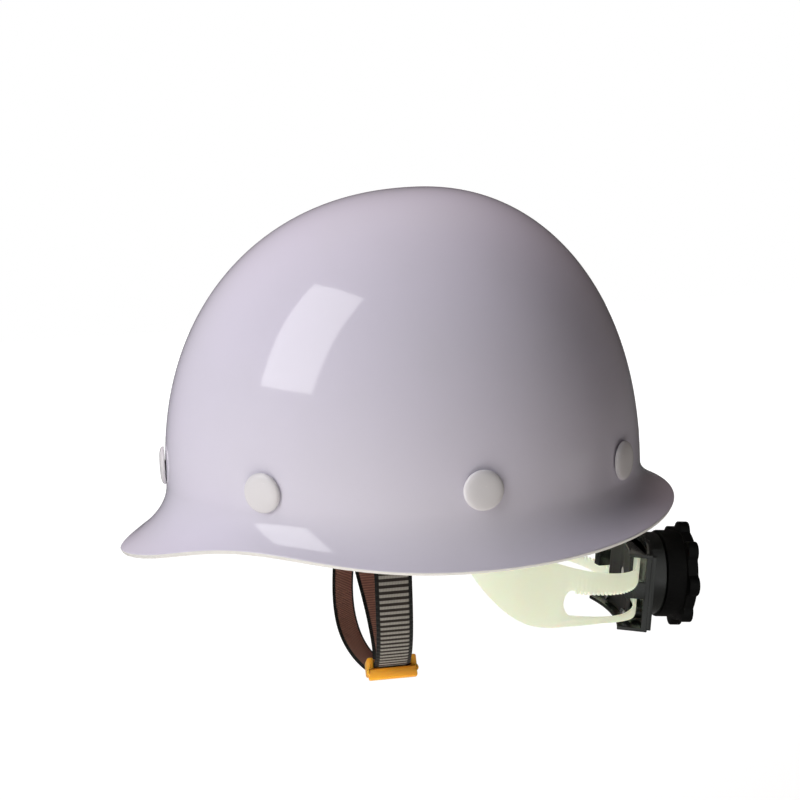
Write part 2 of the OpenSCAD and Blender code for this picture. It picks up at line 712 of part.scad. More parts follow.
// Detent spring: a star with three curved arms whose tips ride over the recess's teeth
module detent_spring() {
    spring_l = 3;
    spring_y = hub_end - recess_l + 0.4;
    arm_w = 1.6;
    tip_r = recess_r - 0.6;
    bow_shift = 3.2;
    bow_r = tip_r - bow_shift;
    bow_from = 2.5;
    clip = 2 * recess_r;
    color("white") nape_frame() translate([0, spring_y + spring_l, 0]) rotate([90, 0, 0])
        linear_extrude(height = spring_l) difference() {
            union() {
                circle(r = shaft_r + 2.9);
                for (k = [0:2]) rotate([0, 0, 120 * k]) {
                    difference() {
                        translate([0, bow_shift]) circle(r = bow_r);
                        translate([0, bow_shift]) circle(r = bow_r - arm_w);
                        translate([-clip, -clip]) square([clip, 2 * clip]);
                        translate([0, -clip]) square([clip, clip - bow_from]);
                    }
                    translate([-arm_w / 2, 0]) square([arm_w, tip_r - 0.2]);
                }
            }
            circle(r = shaft_r + pin_gap);
        }
}

module knob() {
    color("black") nape_frame() difference() {
        union() {
            translate([0, knob_flange_from + 0.5, 0]) rotate([90, 0, 0])
                cylinder(r = knob_drum_r, h = knob_drum_l + 0.5);
            // Flange with lobes to grip
            translate([0, knob_end, 0]) rotate([90, 0, 0]) linear_extrude(height = knob_flange_l) {
                circle(r = knob_drum_r + 1.6);
                for (k = [0:knob_lobes - 1]) rotate([0, 0, 360 * k / knob_lobes])
                    translate([0, knob_lobe_r - 5.4]) circle(r = 5.4);
            }
        }
        // Hollow of the drum, with a boss left round the shaft
        difference() {
            translate([0, knob_end - knob_wall - 1, 0]) rotate([90, 0, 0])
                cylinder(r = knob_drum_r - knob_wall, h = knob_end - knob_wall - knob_from);
            translate([0, knob_end, 0]) rotate([90, 0, 0]) cylinder(r = 2 * shaft_r, h = knob_end - hub_l);
        }
        // Bore for the shaft, and the sunk seat of the screw
        translate([0, shaft_end + seat_gap, 0]) rotate([90, 0, 0])
            cylinder(r = shaft_r + pin_gap, h = knob_end - knob_from);
        translate([0, knob_end + 1, 0]) rotate([90, 0, 0]) cylinder(r = 1.5, h = knob_nose + 2);
        translate([0, knob_end + 1, 0]) rotate([90, 0, 0]) cylinder(r = knob_seat_r, h = 3.2);
    }
}

module knob_screw() {
    head_h = 2;
    color("silver") nape_frame() {
        difference() {
            translate([0, knob_end - 0.1, 0]) rotate([90, 0, 0])
                cylinder(r = knob_seat_r - 0.3, h = head_h);
            translate([-3.4, knob_end - 0.9, -0.5]) cube([6.8, 2, 1]);
            translate([-0.5, knob_end - 0.9, -3.4]) cube([1, 2, 6.8]);
        }
        translate([0, knob_end - head_h, 0]) rotate([90, 0, 0])
            cylinder(r = 1.24, h = knob_nose - head_h + screw_bite);
    }
}

// Chin strap hardware. In the stud frame +Z points out from the headband.
chin_stud_r = 3;
hook_t = 2;
bar_r = 1.9;
bar_z = 3.5;
sewn_t = webbing_t + 0.12;
loop_r = bar_r + 0.15 + sewn_t;
// The loop hangs just outside the headband
chin_gap = 0.9;
chin_half_w = band_half_w + band_t + chin_gap;
bar_x = chin_half_w + loop_r - sewn_t / 2;
module chin_stud_frame(side) {
    translate([side * band_half_w, -chin_y, chin_stud_z]) rotate([0, side * 90, 0]) children();
}

module chin_studs() {
    // The headband's outside lies further in here than over the ears
    inset = band_half_w - band_half_w * sqrt(1 - pow((chin_y + 6) / band_half_l, 2));
    shoulder_end = bar_x - hook_t / 2 - band_half_w - seat_gap;
    hook_end = bar_x + hook_t / 2 - band_half_w + seat_gap;
    color("gray") for (side = [-1, 1]) chin_stud_frame(side) {
        translate([0, 0, -inset - 2.4]) cylinder(r = chin_stud_r, h = inset + 2.4 + hook_end + 0.6);
        translate([0, 0, band_t]) cylinder(r = 5, h = shoulder_end - band_t);
        translate([0, 0, hook_end]) cylinder(r = 5.2, h = 1.6);
        translate([0, 0, -inset - 2.6]) cylinder(r = 4.6, h = 1.2);
    }
}

// A hook swings on its stud by an eye and carries the webbing on a round bar
module chin_hook(side) {
    leg_w = 2.6;
    half = chin_strap_w / 2 + 0.6;
    color("gray") translate([side * bar_x, -chin_y, 0]) {
        difference() {
            union() {
                translate([-hook_t / 2, 0, chin_stud_z]) rotate([0, 90, 0]) cylinder(r = 7.5, h = hook_t);
                translate([-hook_t / 2, -half - leg_w, bar_z + 4.4])
                    cube([hook_t, 2 * (half + leg_w), 3.6]);
                for (s = [-1, 1]) translate([-hook_t / 2, s > 0 ? half : -half - leg_w, bar_z - 1.6])
                    cube([hook_t, leg_w, 6.4]);
            }
            translate([-10, 0, chin_stud_z]) rotate([0, 90, 0]) cylinder(r = chin_stud_r + pin_gap, h = 20);
        }
        translate([0, half + leg_w, bar_z]) rotate([90, 0, 0]) cylinder(r = bar_r, h = 2 * (half + leg_w));
    }
}

module chin_hook_left() {
    chin_hook(1);
}

module chin_hook_right() {
    chin_hook(-1);
}

// Chin webbing. It is sewn round the left bar, hangs in a loop whose angle q runs from 90 at the left
// bar through 0 at the bottom to -90 at the right bar, turns round that bar and comes back inside.
loop_rings = 64;
turn_rings = 8;
back_rings = 44;
turn_r = bar_x - chin_half_w;
layer_gap = 1.9;
// Where the slider sits on the loop, and where the webbing's free end stops past it
slider_q = 31;
back_to = slider_q + 8.5;
// Soft webbing: how far it leans back at the slider, and how far its second layer lies behind the first
chin_lean = 1.8;
back_lean = 8.6;
function lean(q) = chin_lean * smooth((85 - q) / 50) * smooth((q + 25) / 45);
function loop_flat(q) = [chin_half_w * sin(q), lean(q) - chin_y, bar_z - chin_drop * cos(q)];
function loop_out(q) = unit([chin_drop * sin(q), 0, -chin_half_w * cos(q)]);
// The far side bulges forward and twists between the slider (0) and the right bar (1)
function far_share(q) = clamp01((20 - q) / 110);
function bulge(q) = pow(sin(180 * far_share(q)), 1.7);
function twist(q) = chin_twist * sin(180 * pow(far_share(q), 1.4));
function loop_ring(q) = let(
        out = loop_out(q),
        side = [0, 1, 0],
        reach = 2 * turn_r * smooth((-q - 30) / 60),
        across = side * cos(twist(q)) + out * sin(twist(q)),
        face = out * cos(twist(q)) - side * sin(twist(q)))
    webbing_ring(loop_flat(q) - side * chin_bulge * bulge(q) + out * (reach + 0.8 * bulge(q)),
        across, face, chin_strap_w, webbing_t);
function turn_ring(f) = let(out = [-cos(f), 0, sin(f)])
    webbing_ring([-bar_x, -chin_y, bar_z] + out * turn_r, [0, 1, 0], out, chin_strap_w, webbing_t);
function back_shift(q) = back_lean * pow(sin(180 * pow(clamp01((18 - q) / 108), 0.75)), 1.5);
function back_ring(q) = let(out = loop_out(q))
    webbing_ring(loop_flat(q) + [0, back_shift(q), 0] - out * layer_gap * smooth((q + 90) / 60),
        [0, 1, 0], -out, chin_strap_w, webbing_t);

module chin_strap() {
    color("gray") difference() {
        union() {
            bar(concat(
                [for (k = [0:loop_rings]) loop_ring(90 - 180 * k / loop_rings)],
                [for (k = [1:turn_rings - 1]) turn_ring(180 * k / turn_rings)],
                [for (k = [0:back_rings]) back_ring(-90 + (back_to + 90) * k / back_rings)]));
            // The loop sewn round the left bar
            translate([bar_x, -chin_y + chin_strap_w / 2, bar_z]) rotate([90, 0, 0])
                cylinder(r = loop_r, h = chin_strap_w, $fn = 48);
        }
        translate([bar_x, chin_strap_w, bar_z]) rotate([90, 0, 0])
            cylinder(r = bar_r + 0.15, h = chin_y + 2 * chin_strap_w, $fn = 48);
    }
}

// Slider: a thick and a thin bar below the webbing, a cheek at each side and a bar above both layers
module chin_slider() {
    slack = 0.3;
    bar_t = 1.8;
    bar_l = 4;
    cheek = (slider_w - chin_strap_w) / 2 - slack;
    rise = layer_gap + webbing_t / 2 + slack;
    sole = webbing_t / 2 + slack;
    tilt = atan2(chin_drop * sin(slider_q), chin_half_w * cos(slider_q));
    color("orange") translate(loop_flat(slider_q)) rotate([0, -tilt, 0]) {
        for (s = [-1, 1])
            translate([-slider_l / 2, s > 0 ? slider_w / 2 - cheek : -slider_w / 2, -sole - bar_t])
                cube([slider_l, cheek, rise + sole + 2 * bar_t]);
        translate([-slider_l / 2, -slider_w / 2 + 0.2, -sole - bar_t + 0.1])
            cube([bar_l, slider_w - 0.4, bar_t - 0.1]);
        translate([slider_l / 2 - bar_l, -slider_w / 2 + 0.2, -sole - slider_grip])
            cube([bar_l + 0.2, slider_w - 0.4, slider_grip]);
        translate([-bar_l / 2, -slider_w / 2 + 0.2, rise]) cube([bar_l, slider_w - 0.4, bar_t - 0.1]);
    }
}

shell();
rivets();
rivet_washers();
crown_strap_middle();
crown_strap_left();
crown_strap_side();
crown_strap_right();
headband();
headband_hangers();
sweatband();
nape_strap_left();
nape_strap_right();
adjuster_body();
adjuster_cover();
cover_screws();
pinion();
detent_spring();
knob();
knob_screw();
chin_studs();
chin_hook_left();
chin_hook_right();
chin_strap();
chin_slider();
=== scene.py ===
import bpy
import math
from mathutils import Matrix, Vector


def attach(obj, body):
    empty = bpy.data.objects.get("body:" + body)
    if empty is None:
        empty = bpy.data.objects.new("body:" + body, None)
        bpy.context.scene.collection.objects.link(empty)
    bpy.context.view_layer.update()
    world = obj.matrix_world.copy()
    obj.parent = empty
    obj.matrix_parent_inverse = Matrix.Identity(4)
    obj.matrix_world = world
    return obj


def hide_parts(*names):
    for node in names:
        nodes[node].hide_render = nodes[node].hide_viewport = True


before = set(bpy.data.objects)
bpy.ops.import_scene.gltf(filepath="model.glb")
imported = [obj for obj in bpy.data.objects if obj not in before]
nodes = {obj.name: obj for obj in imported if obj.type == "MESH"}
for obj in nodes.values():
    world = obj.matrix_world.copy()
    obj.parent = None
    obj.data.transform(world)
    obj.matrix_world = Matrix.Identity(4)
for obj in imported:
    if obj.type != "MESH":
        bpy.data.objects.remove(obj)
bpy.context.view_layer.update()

# Sizes of the object are in millimetres and angles in degrees. MM turns a size into metres, which
# the meshes, lamps and floor use.
MM = 0.001
# Points closer than this, in metres, are one point
SAME_POINT = 0.00001

# Camera, as the photograph was taken
CAMERA_PLACE, CAMERA_AIM = (770.8, -117.8, 202.3), (0.4, -11.3, 58.3)
CAMERA_LENS, CAMERA_SENSOR, CAMERA_ROLL = 71.2, 36, -2.61

# Shell: dome above the waist, flare below it, and a rim that rises and falls round the head
DOME_HALF_W, DOME_HALF_L, DOME_EGG = 101.5, 118.5, 11
DOME_H, DOME_POWER, WAIST_Z = 138.5, 2.17, 25
WALL, RIM_ROUNDING = 2.8, 1.1
BRIM_FRONT, BRIM_SIDE, BRIM_REAR = 25, 10.2, 17
PEAK_ANGLE, PEAK_POWER, REAR_POWER = 21, 1.6, 1.2
RIM_FRONT_Z, RIM_FRONT_SPREAD = -6.7, 50
RIM_TEMPLE_RISE, RIM_TEMPLE_ANGLE, RIM_TEMPLE_SPREAD = 12, 43, 26.5
RIM_REAR_Z = 7.3
# Share of the shell's grid, from the rim up, that makes the flare. A share FLARE_SOFT of its reach
# eases out of the waist, and the rest grows by a power.
FLARE_SHARE, FLARE_SOFT, FLARE_POWER = 0.34, 0.3, 3.1

# Rivets, and the depths inside the shell of what they hold
RIVET_ANGLES = (-90, -43, 5, 50, 90, 130, 175, 223)
RIVET_Z, RIVET_HEAD_R, RIVET_HEAD_H, SHANK_R, FOOT_R = 34, 9.3, 2.5, 2.4, 4.32
WEBBING_T, HANGER_T, WASHER_T, CLENCH_T = 1.3, 1.5, 1.5, 1.4
WALL_GAP, SEAT_GAP = 1.8, 0.1
STRAP_DEPTH = WALL + WALL_GAP
WASHER_DEPTH = STRAP_DEPTH + WEBBING_T + SEAT_GAP + HANGER_T + SEAT_GAP
CLENCH_DEPTH = WASHER_DEPTH + WASHER_T + SEAT_GAP

# Crown straps: name and the angles of the rivets at both ends, from the top layer down
CROWN_STRAPS = (("middle", (-90, 90)), ("left", (-43, 130)), ("side", (5, 175)),
                ("right", (223, 50)))
CROWN_W, CROWN_Z, CROWN_Y, CROWN_LAYER_GAP = 20, 124, -4, 0.5

# Chin strap
CHIN_W, CHIN_Y, CHIN_HALF_W, CHIN_DROP = 17.4, 29.3, 81.8, 81
CHIN_BULGE, CHIN_TWIST, BAR_Z, LAYER_GAP, TAIL_Q = 10.8, 47, 3.5, 1.9, 39.5
CHIN_LEAN, BACK_LEAN = 1.8, 8.6
# The chin webbing's q where its twist, and where its second layer's lean, start to grow
TWIST_FROM, BACK_FROM = 20, 18
# Span of q over which the layers draw apart at the right bar
LAYER_EASE = 60
BAR_R, BAR_GAP, RIB_ROOM = 1.9, 0.15, 0.12
TURN_R = BAR_R + BAR_GAP + (WEBBING_T + RIB_ROOM) / 2
BAR_X = CHIN_HALF_W + TURN_R
FIRST_TURN, TURN_STEPS, LOOP_STEPS = 235, 24, 180
RIB_PITCH, RIB_H, BACK_RIB_H = 3.25, 0.3, 0.1
# A webbing's UV map runs from -1 to 1 across it and in metres along it, and its plain side lies
# this far to the side of the ribbed one
PLAIN_SHIFT = 4.0

# Sweatband, inside the front of the headband. A seam is a share of the way round its section.
BAND_HALF_W, BAND_HALF_L, SWEAT_MID_Z = 79.3, 100, 19
SWEAT_FROM, SWEAT_SPAN = -156, 132
SWEAT_GAP, SWEAT_DEEP, SWEAT_BACK, SWEAT_HALF_H = 2, 4.2, 0.4, 17
SWEAT_END, SWEAT_END_POWER, SWEAT_FACE_POWER, SWEAT_EDGE_POWER = 0.06, 0.35, 0.7, 0.6
SEAMS = (0.145, 0.355)
SWEAT_SWELL, SWEAT_VOXEL = 1.1, 1.6

# Lamps, floor and surround, in metres and in shares of white
FLOOR_Z, FLOOR_SIZE = -0.30, 6
# What the room sends to matt surfaces, and what glossy ones mirror of its far and near sides
AMBIENT = (0.03, 0.027, 0.025)
MIRRORED = ((0.04, 0.035, 0.035), (0.8, 0.8, 0.78))
# Fill lamps: name, azimuth, height, share of white that they add, and colour
FILL_DISTANCE, FILL_SIZE, FILL_AIM = 1.7, 0.9, Vector((0.0, 0.0, 0.08))
FILLS = (
    ("front_fill", -75, 15, 0.275, (1.0, 1.0, 1.0)),
    ("rear_fill", 175, 62, 0.28, (1.0, 0.81, 0.74)),
    ("top_fill", -85, 66, 0.265, (1.0, 0.94, 0.99)),
)

# Moulded and metal pieces that keep their CAD form: node, body, slot, rounding of the edges
MOULDED = (
    ("rivet_washers", "helmet", "washer", 0.2), ("headband", "helmet", "band", 0.3),
    ("headband_hangers", "helmet", "hanger", 0.25), ("chin_studs", "helmet", "stud", 0.25),
    ("nape_strap_left", "nape_left", "nape_strap", 0.2),
    ("nape_strap_right", "nape_right", "nape_strap", 0.2),
    ("adjuster_body", "adjuster", "adjuster", 0.3), ("adjuster_cover", "adjuster", "cover", 0.25),
    ("cover_screws", "adjuster", "screw", 0.15), ("pinion", "knob", "pinion", 0.1),
    ("detent_spring", "knob", "detent", 0.15), ("knob", "knob", "knob", 0.5),
    ("knob_screw", "knob", "screw", 0.15), ("chin_hook_left", "chin", "hook", 0.3),
    ("chin_hook_right", "chin", "hook", 0.3), ("chin_slider", "chin", "slider", 0.8),
)

rad = math.radians


def clamp01(value):
    return min(1.0, max(0.0, value))


def smooth(value):
    c = clamp01(value)
    return c * c * (3 - 2 * c)


# Modelling helpers
def activate(piece):
    bpy.ops.object.select_all(action="DESELECT")
    piece.select_set(True)
    bpy.context.view_layer.objects.active = piece


def edit_all(piece):
    """Opens a piece in edit mode with everything selected."""
    activate(piece)
    bpy.ops.object.mode_set(mode="EDIT")
    bpy.ops.mesh.select_all(action="SELECT")


def weld(piece, fill_ends=False):
    """Merges the doubles of a piece, fills its open ends if asked to, and turns its faces
    outwards."""
    edit_all(piece)
    bpy.ops.mesh.remove_doubles(threshold=SAME_POINT)
    if fill_ends:
        bpy.ops.mesh.select_all(action="DESELECT")
        bpy.ops.mesh.select_non_manifold()
        bpy.ops.mesh.fill_holes(sides=0)
        bpy.ops.mesh.select_all(action="SELECT")
    bpy.ops.mesh.normals_make_consistent(inside=False)
    bpy.ops.object.mode_set(mode="OBJECT")


def apply_modifier(piece, kind, **settings):
    activate(piece)
    modifier = piece.modifiers.new(kind.lower(), kind)
    for key, value in settings.items():
        setattr(modifier, key, value)
    bpy.ops.object.modifier_apply(modifier=modifier.name)


def shade(piece, degrees):
    """Smooth shading, apart from edges sharper than the angle."""
    activate(piece)
    bpy.ops.object.shade_smooth_by_angle(angle=rad(degrees))


def dress(piece, materials):
    for material in materials:
        piece.data.materials.append(material)


def finish(piece, body, materials=(), stands_for=()):
    """Gives a finished piece its materials, its body and the nodes that it stands for. A piece
    that was dressed before keeps what it has."""
    if materials:
        piece.data.materials.clear()
        dress(piece, materials)
    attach(piece, body)
    if stands_for:
        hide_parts(*stands_for)


def new_piece(name, mesh):
    piece = bpy.data.objects.new(name, mesh)
    bpy.context.scene.collection.objects.link(piece)
    return piece


def wrapped_grid(name, columns, rows, place):
    """Adds a grid and moves each corner to place(across, along), where both run from 0 to 1."""
    bpy.ops.object.select_all(action="DESELECT")
    bpy.ops.mesh.primitive_grid_add(x_subdivisions=columns, y_subdivisions=rows, size=1)
    piece = bpy.context.active_object
    piece.name = name
    for vertex in piece.data.vertices:
        vertex.co = Vector(place(vertex.co.x + 0.5, vertex.co.y + 0.5)) * MM
    return piece


def turned(name, profile, steps):
    """Spins a profile of (radius, height) corners round the Z axis."""
    mesh = bpy.data.meshes.new(name)
    mesh.from_pydata([(r * MM, 0, z * MM) for r, z in profile],
                     [(i, i + 1) for i in range(len(profile) - 1)], [])
    piece = new_piece(name, mesh)
    edit_all(piece)
    bpy.ops.mesh.spin(steps=steps, angle=math.tau, center=(0, 0, 0), axis=(0, 0, 1))
    bpy.ops.object.mode_set(mode="OBJECT")
    weld(piece)
    return piece


def placed_copy(piece, name, matrix):
    """A copy of a piece with its own mesh, whose place is in the mesh."""
    mesh = piece.data.copy()
    mesh.transform(matrix)
    return new_piece(name, mesh)


def softened(node, width):
    """A copy of a CAD node, merged, with its sharp edges rounded to a width."""
    flat, sharp = 0.4, 32
    piece = new_piece(node + "_moulded", nodes[node].data.copy())
    activate(piece)
    bpy.ops.mesh.customdata_custom_splitnormals_clear()
    edit_all(piece)
    bpy.ops.mesh.remove_doubles(threshold=SAME_POINT / 2)
    bpy.ops.mesh.dissolve_limited(angle_limit=rad(flat))
    bpy.ops.object.mode_set(mode="OBJECT")
    apply_modifier(piece, "BEVEL", width=width * MM, segments=2, limit_method="ANGLE",
                   angle_limit=rad(sharp), use_clamp_overlap=False, miter_outer="MITER_ARC")
    shade(piece, sharp)
    return piece


# Shader helpers
def add_node(tree, kind, **settings):
    node = tree.nodes.new(kind)
    for key, value in settings.items():
        setattr(node, key, value)
    return node


def feed(tree, socket, value):
    """Links an output to a socket, or sets the socket to a plain value."""
    if isinstance(value, bpy.types.NodeSocket):
        tree.links.new(value, socket)
    else:
        socket.default_value = value


def maths(tree, operation, *values):
    node = add_node(tree, "ShaderNodeMath", operation=operation)
    for i, value in enumerate(values):
        feed(tree, node.inputs[i], value)
    return node.outputs[0]


def split(tree, vector):
    """The three parts of a vector."""
    node = add_node(tree, "ShaderNodeSeparateXYZ")
    feed(tree, node.inputs[0], vector)
    return node.outputs


def coordinates(tree, kind):
    return add_node(tree, "ShaderNodeTexCoord").outputs[kind]


def mixed(tree, share, first, second):
    """Mixes two colours, given as (r, g, b) or as sockets."""
    node = add_node(tree, "ShaderNodeMix", data_type="RGBA")
    feed(tree, node.inputs[0], share)
    for socket, value in ((node.inputs[6], first), (node.inputs[7], second)):
        feed(tree, socket, (*value, 1) if isinstance(value, tuple) else value)
    return node.outputs[2]


def remapped(tree, value, low, high, to_low=0.0, to_high=1.0):
    """Eases from to_low to to_high while the value goes from low to high."""
    node = add_node(tree, "ShaderNodeMapRange", interpolation_type="SMOOTHSTEP")
    for i, part in enumerate((value, low, high, to_low, to_high)):
        feed(tree, node.inputs[i], part)
    return node.outputs[0]


def noise(tree, vector, scale, detail=2.0, roughness=0.5):
    node = add_node(tree, "ShaderNodeTexNoise")
    feed(tree, node.inputs["Vector"], vector)
    feed(tree, node.inputs["Scale"], scale)
    feed(tree, node.inputs["Detail"], detail)
    feed(tree, node.inputs["Roughness"], roughness)
    return node.outputs["Fac"]


def new_group(name, inputs, outputs):
    """A shader node group with named number inputs and outputs."""
    tree = bpy.data.node_groups.new(name, "ShaderNodeTree")
    for label, default in inputs:
        socket = tree.interface.new_socket(label, in_out="INPUT", socket_type="NodeSocketFloat")
        socket.default_value = default
    for label in outputs:
        tree.interface.new_socket(label, in_out="OUTPUT", socket_type="NodeSocketFloat")
    return tree, add_node(tree, "NodeGroupInput"), add_node(tree, "NodeGroupOutput")


def make_surface_group():
    """Cloudy tone, fine grain and light scuffs, on the object's own coordinates."""
    tree, source, sink = new_group(
        "moulded_surface", [("Cloud Scale", 30.0), ("Grain Scale", 900.0), ("Scuff Scale", 60.0)],
        ["Cloud", "Grain", "Scuff"])
    spot = coordinates(tree, "Object")
    cloud = noise(tree, spot, source.outputs[0], detail=3.0)
    grain = noise(tree, spot, source.outputs[1], roughness=0.6)
    stretch = add_node(tree, "ShaderNodeVectorMath", operation="MULTIPLY")
    feed(tree, stretch.inputs[0], spot)
    stretch.inputs[1].default_value = (1.0, 4.0, 14.0)
    scratch = noise(tree, stretch.outputs[0], source.outputs[2], detail=6.0, roughness=0.7)
    feed(tree, sink.inputs[0], remapped(tree, cloud, 0.3, 0.7))
    feed(tree, sink.inputs[1], grain)
    feed(tree, sink.inputs[2], remapped(tree, scratch, 0.62, 0.72))
    return tree


def make_weave_group():
    """Ribs across a webbing, its selvages and its yarns, read from the strap's own UV map. The
    pitches are in metres."""
    half_width, selvage_from, selvage_full = 0.0087, 0.74, 0.82
    tree, source, sink = new_group(
        "webbing_weave", [("Rib Pitch", 0.00325), ("Back Pitch", 0.0016), ("Yarn Pitch", 0.0007)],
        ["Rib", "Selvage", "Yarn", "Back"])
    layout = split(tree, coordinates(tree, "UV"))
    back = maths(tree, "GREATER_THAN", layout[0], PLAIN_SHIFT / 2)
    across = maths(tree, "SUBTRACT", layout[0], maths(tree, "MULTIPLY", back, PLAIN_SHIFT))
    pitch = maths(tree, "ADD", maths(tree, "MULTIPLY", source.outputs[0],
                                     maths(tree, "SUBTRACT", 1.0, back)),
                  maths(tree, "MULTIPLY", source.outputs[1], back))
    turn = maths(tree, "MULTIPLY", maths(tree, "DIVIDE", layout[1], pitch), math.tau)
    wave = maths(tree, "COSINE", turn)
    feed(tree, sink.inputs[0], remapped(tree, wave, -0.35, 0.45))
    edge = maths(tree, "ABSOLUTE", across)
    feed(tree, sink.inputs[1], remapped(tree, edge, selvage_from, selvage_full))
    yarn_turn = maths(tree, "DIVIDE", maths(tree, "MULTIPLY", across, half_width),
                      source.outputs[2])
    yarn = maths(tree, "SINE", maths(tree, "MULTIPLY", yarn_turn, math.tau))
    feed(tree, sink.inputs[2], maths(tree, "MULTIPLY_ADD", yarn, 0.5, 0.5))
    feed(tree, sink.inputs[3], back)
    return tree


def new_material(name, roughness, **plain):
    """A material, whose plain values are named as the shader's inputs, with _ for a space."""
    material = bpy.data.materials.new(name)
    material.use_nodes = True
    tree = material.node_tree
    shader = tree.nodes["Principled BSDF"]
    feed(tree, shader.inputs["Roughness"], roughness)
    for key, value in plain.items():
        shader.inputs[key.replace("_", " ")].default_value = value
    return material, tree, shader


def paint(tree, shader, share, first, second):
    feed(tree, shader.inputs["Base Color"], mixed(tree, share, first, second))


def scuff_roughness(tree, shader, scuff, clean, scuffed):
    feed(tree, shader.inputs["Roughness"], remapped(tree, scuff, 0.0, 1.0, clean, scuffed))


def add_bump(tree, shader, height, depth_mm, strength=1.0):
    bump = add_node(tree, "ShaderNodeBump")
    feed(tree, bump.inputs["Strength"], strength)
    feed(tree, bump.inputs["Distance"], depth_mm * MM)
    feed(tree, bump.inputs["Height"], height)
    tree.links.new(bump.outputs[0], shader.inputs["Normal"])


def add_surface(tree, cloud=30.0, grain=900.0, scuff=60.0):
    group = add_node(tree, "ShaderNodeGroup", node_tree=surface_group)
    for i, value in enumerate((cloud, grain, scuff)):
        group.inputs[i].default_value = value
    return group.outputs["Cloud"], group.outputs["Grain"], group.outputs["Scuff"]


# Materials
def plastic(name, light, dark, clean, scuffed, grain_mm, **plain):
    """Moulded plastic: two close tones in clouds, a fine grain, and scuffs that dull it."""
    material, tree, shader = new_material(name, clean, **plain)
    cloud, fine, scuff = add_surface(tree)
    paint(tree, shader, cloud, light, dark)
    scuff_roughness(tree, shader, scuff, clean, scuffed)
    add_bump(tree, shader, fine, grain_mm)
    return material


def make_shell_material():
    """Gloss finish over the laminate, a pale lilac white."""
    material, tree, shader = new_material("shell_gloss", 0.08, Specular_IOR_Level=0.5)
    cloud, fine, scuff = add_surface(tree, cloud=14.0, grain=160.0, scuff=34.0)
    paint(tree, shader, cloud, (0.715, 0.68, 0.80), (0.70, 0.672, 0.775))
    scuff_roughness(tree, shader, scuff, 0.07, 0.12)
    add_bump(tree, shader, fine, 0.02)
    return material


def make_inside_material():
    """Bare inside of the shell, where chopped strands lie under thin resin."""
    strand_leans = ((0, 0, 20), (25, 60, 80), (60, 15, 140), (90, 40, 50))
    material, tree, shader = new_material("shell_inside", 0.5)
    spot = coordinates(tree, "Object")
    strands = 0.0
    for lean in strand_leans:
        way = add_node(tree, "ShaderNodeMapping")
        feed(tree, way.inputs["Vector"], spot)
        way.inputs["Rotation"].default_value = [rad(degrees) for degrees in lean]
        way.inputs["Scale"].default_value = (50.0, 600.0, 600.0)
        streak = remapped(tree, noise(tree, way.outputs[0], 1.0, detail=1.0), 0.56, 0.72)
        strands = maths(tree, "MAXIMUM", streak, strands)
    cloud = add_surface(tree, cloud=60.0)[0]
    resin = mixed(tree, cloud, (0.58, 0.57, 0.545), (0.62, 0.61, 0.58))
    paint(tree, shader, strands, resin, (0.70, 0.69, 0.66))
    add_bump(tree, shader, strands, 0.08, strength=0.6)
    return material


def make_rim_material():
    """Cut edge of the laminate, with its layers showing."""
    material, tree, shader = new_material("shell_cut_edge", 0.42)
    layers = noise(tree, coordinates(tree, "Object"), 700.0, detail=4.0, roughness=0.7)
    paint(tree, shader, layers, (0.76, 0.755, 0.74), (0.66, 0.655, 0.64))
    add_bump(tree, shader, layers, 0.08)
    return material


def make_webbing(name, rib, groove, selvage, back_rib, back_groove, pitch=RIB_PITCH,
                 bump_mm=0.15):
    """Woven webbing with a ribbed side and a plain side, which has twice the ribs."""
    yarn_wear, yarn_height = 0.35, 0.4
    material, tree, shader = new_material(name, 0.9, Sheen_Weight=0.08, Sheen_Roughness=0.6,
                                          Specular_IOR_Level=0.15)
    weave = add_node(tree, "ShaderNodeGroup", node_tree=weave_group)
    weave.inputs["Rib Pitch"].default_value = pitch * MM
    weave.inputs["Back Pitch"].default_value = pitch * MM / 2
    yarn = weave.outputs["Yarn"]
    worn_rib = mixed(tree, maths(tree, "MULTIPLY", yarn, yarn_wear), rib, groove)
    front = mixed(tree, weave.outputs["Rib"], groove, worn_rib)
    # The plain side's colours, which on the chin webbing hold painted shade
    rear = mixed(tree, weave.outputs["Rib"], back_groove, back_rib)
    body = mixed(tree, weave.outputs["Back"], front, rear)
    paint(tree, shader, weave.outputs["Selvage"], body, selvage)
    height = maths(tree, "MULTIPLY_ADD", yarn, yarn_height, weave.outputs["Rib"])
    add_bump(tree, shader, height, bump_mm)
    return material


def make_leather():
    """Black leather with a fine cell grain."""
    material, tree, shader = new_material("sweatband_leather", 0.55, Sheen_Weight=0.1)
    spot = coordinates(tree, "Object")
    cells = add_node(tree, "ShaderNodeTexVoronoi", feature="F1")
    feed(tree, cells.inputs["Vector"], spot)
    cells.inputs["Scale"].default_value = 650.0
    cloud = add_surface(tree, cloud=40.0)[0]
    paint(tree, shader, cloud, (0.022, 0.02, 0.02), (0.04, 0.036, 0.034))
    add_bump(tree, shader, cells.outputs["Distance"], 0.12)
    return material


def make_thread():
    material, tree, shader = new_material("stitch_thread", 0.7, Sheen_Weight=0.2)
    strand = noise(tree, coordinates(tree, "Object"), 2500.0)
    paint(tree, shader, strand, (0.30, 0.29, 0.27), (0.46, 0.45, 0.42))
    add_bump(tree, shader, strand, 0.05)
    return material


def make_steel():
    material, tree, shader = new_material("plain_steel", 0.32, Metallic=1.0)
    cloud, fine, scuff = add_surface(tree, cloud=120.0, grain=1500.0, scuff=200.0)
    paint(tree, shader, cloud, (0.55, 0.55, 0.56), (0.44, 0.44, 0.45))
    scuff_roughness(tree, shader, scuff, 0.26, 0.45)
    add_bump(tree, shader, fine, 0.01)
    return material


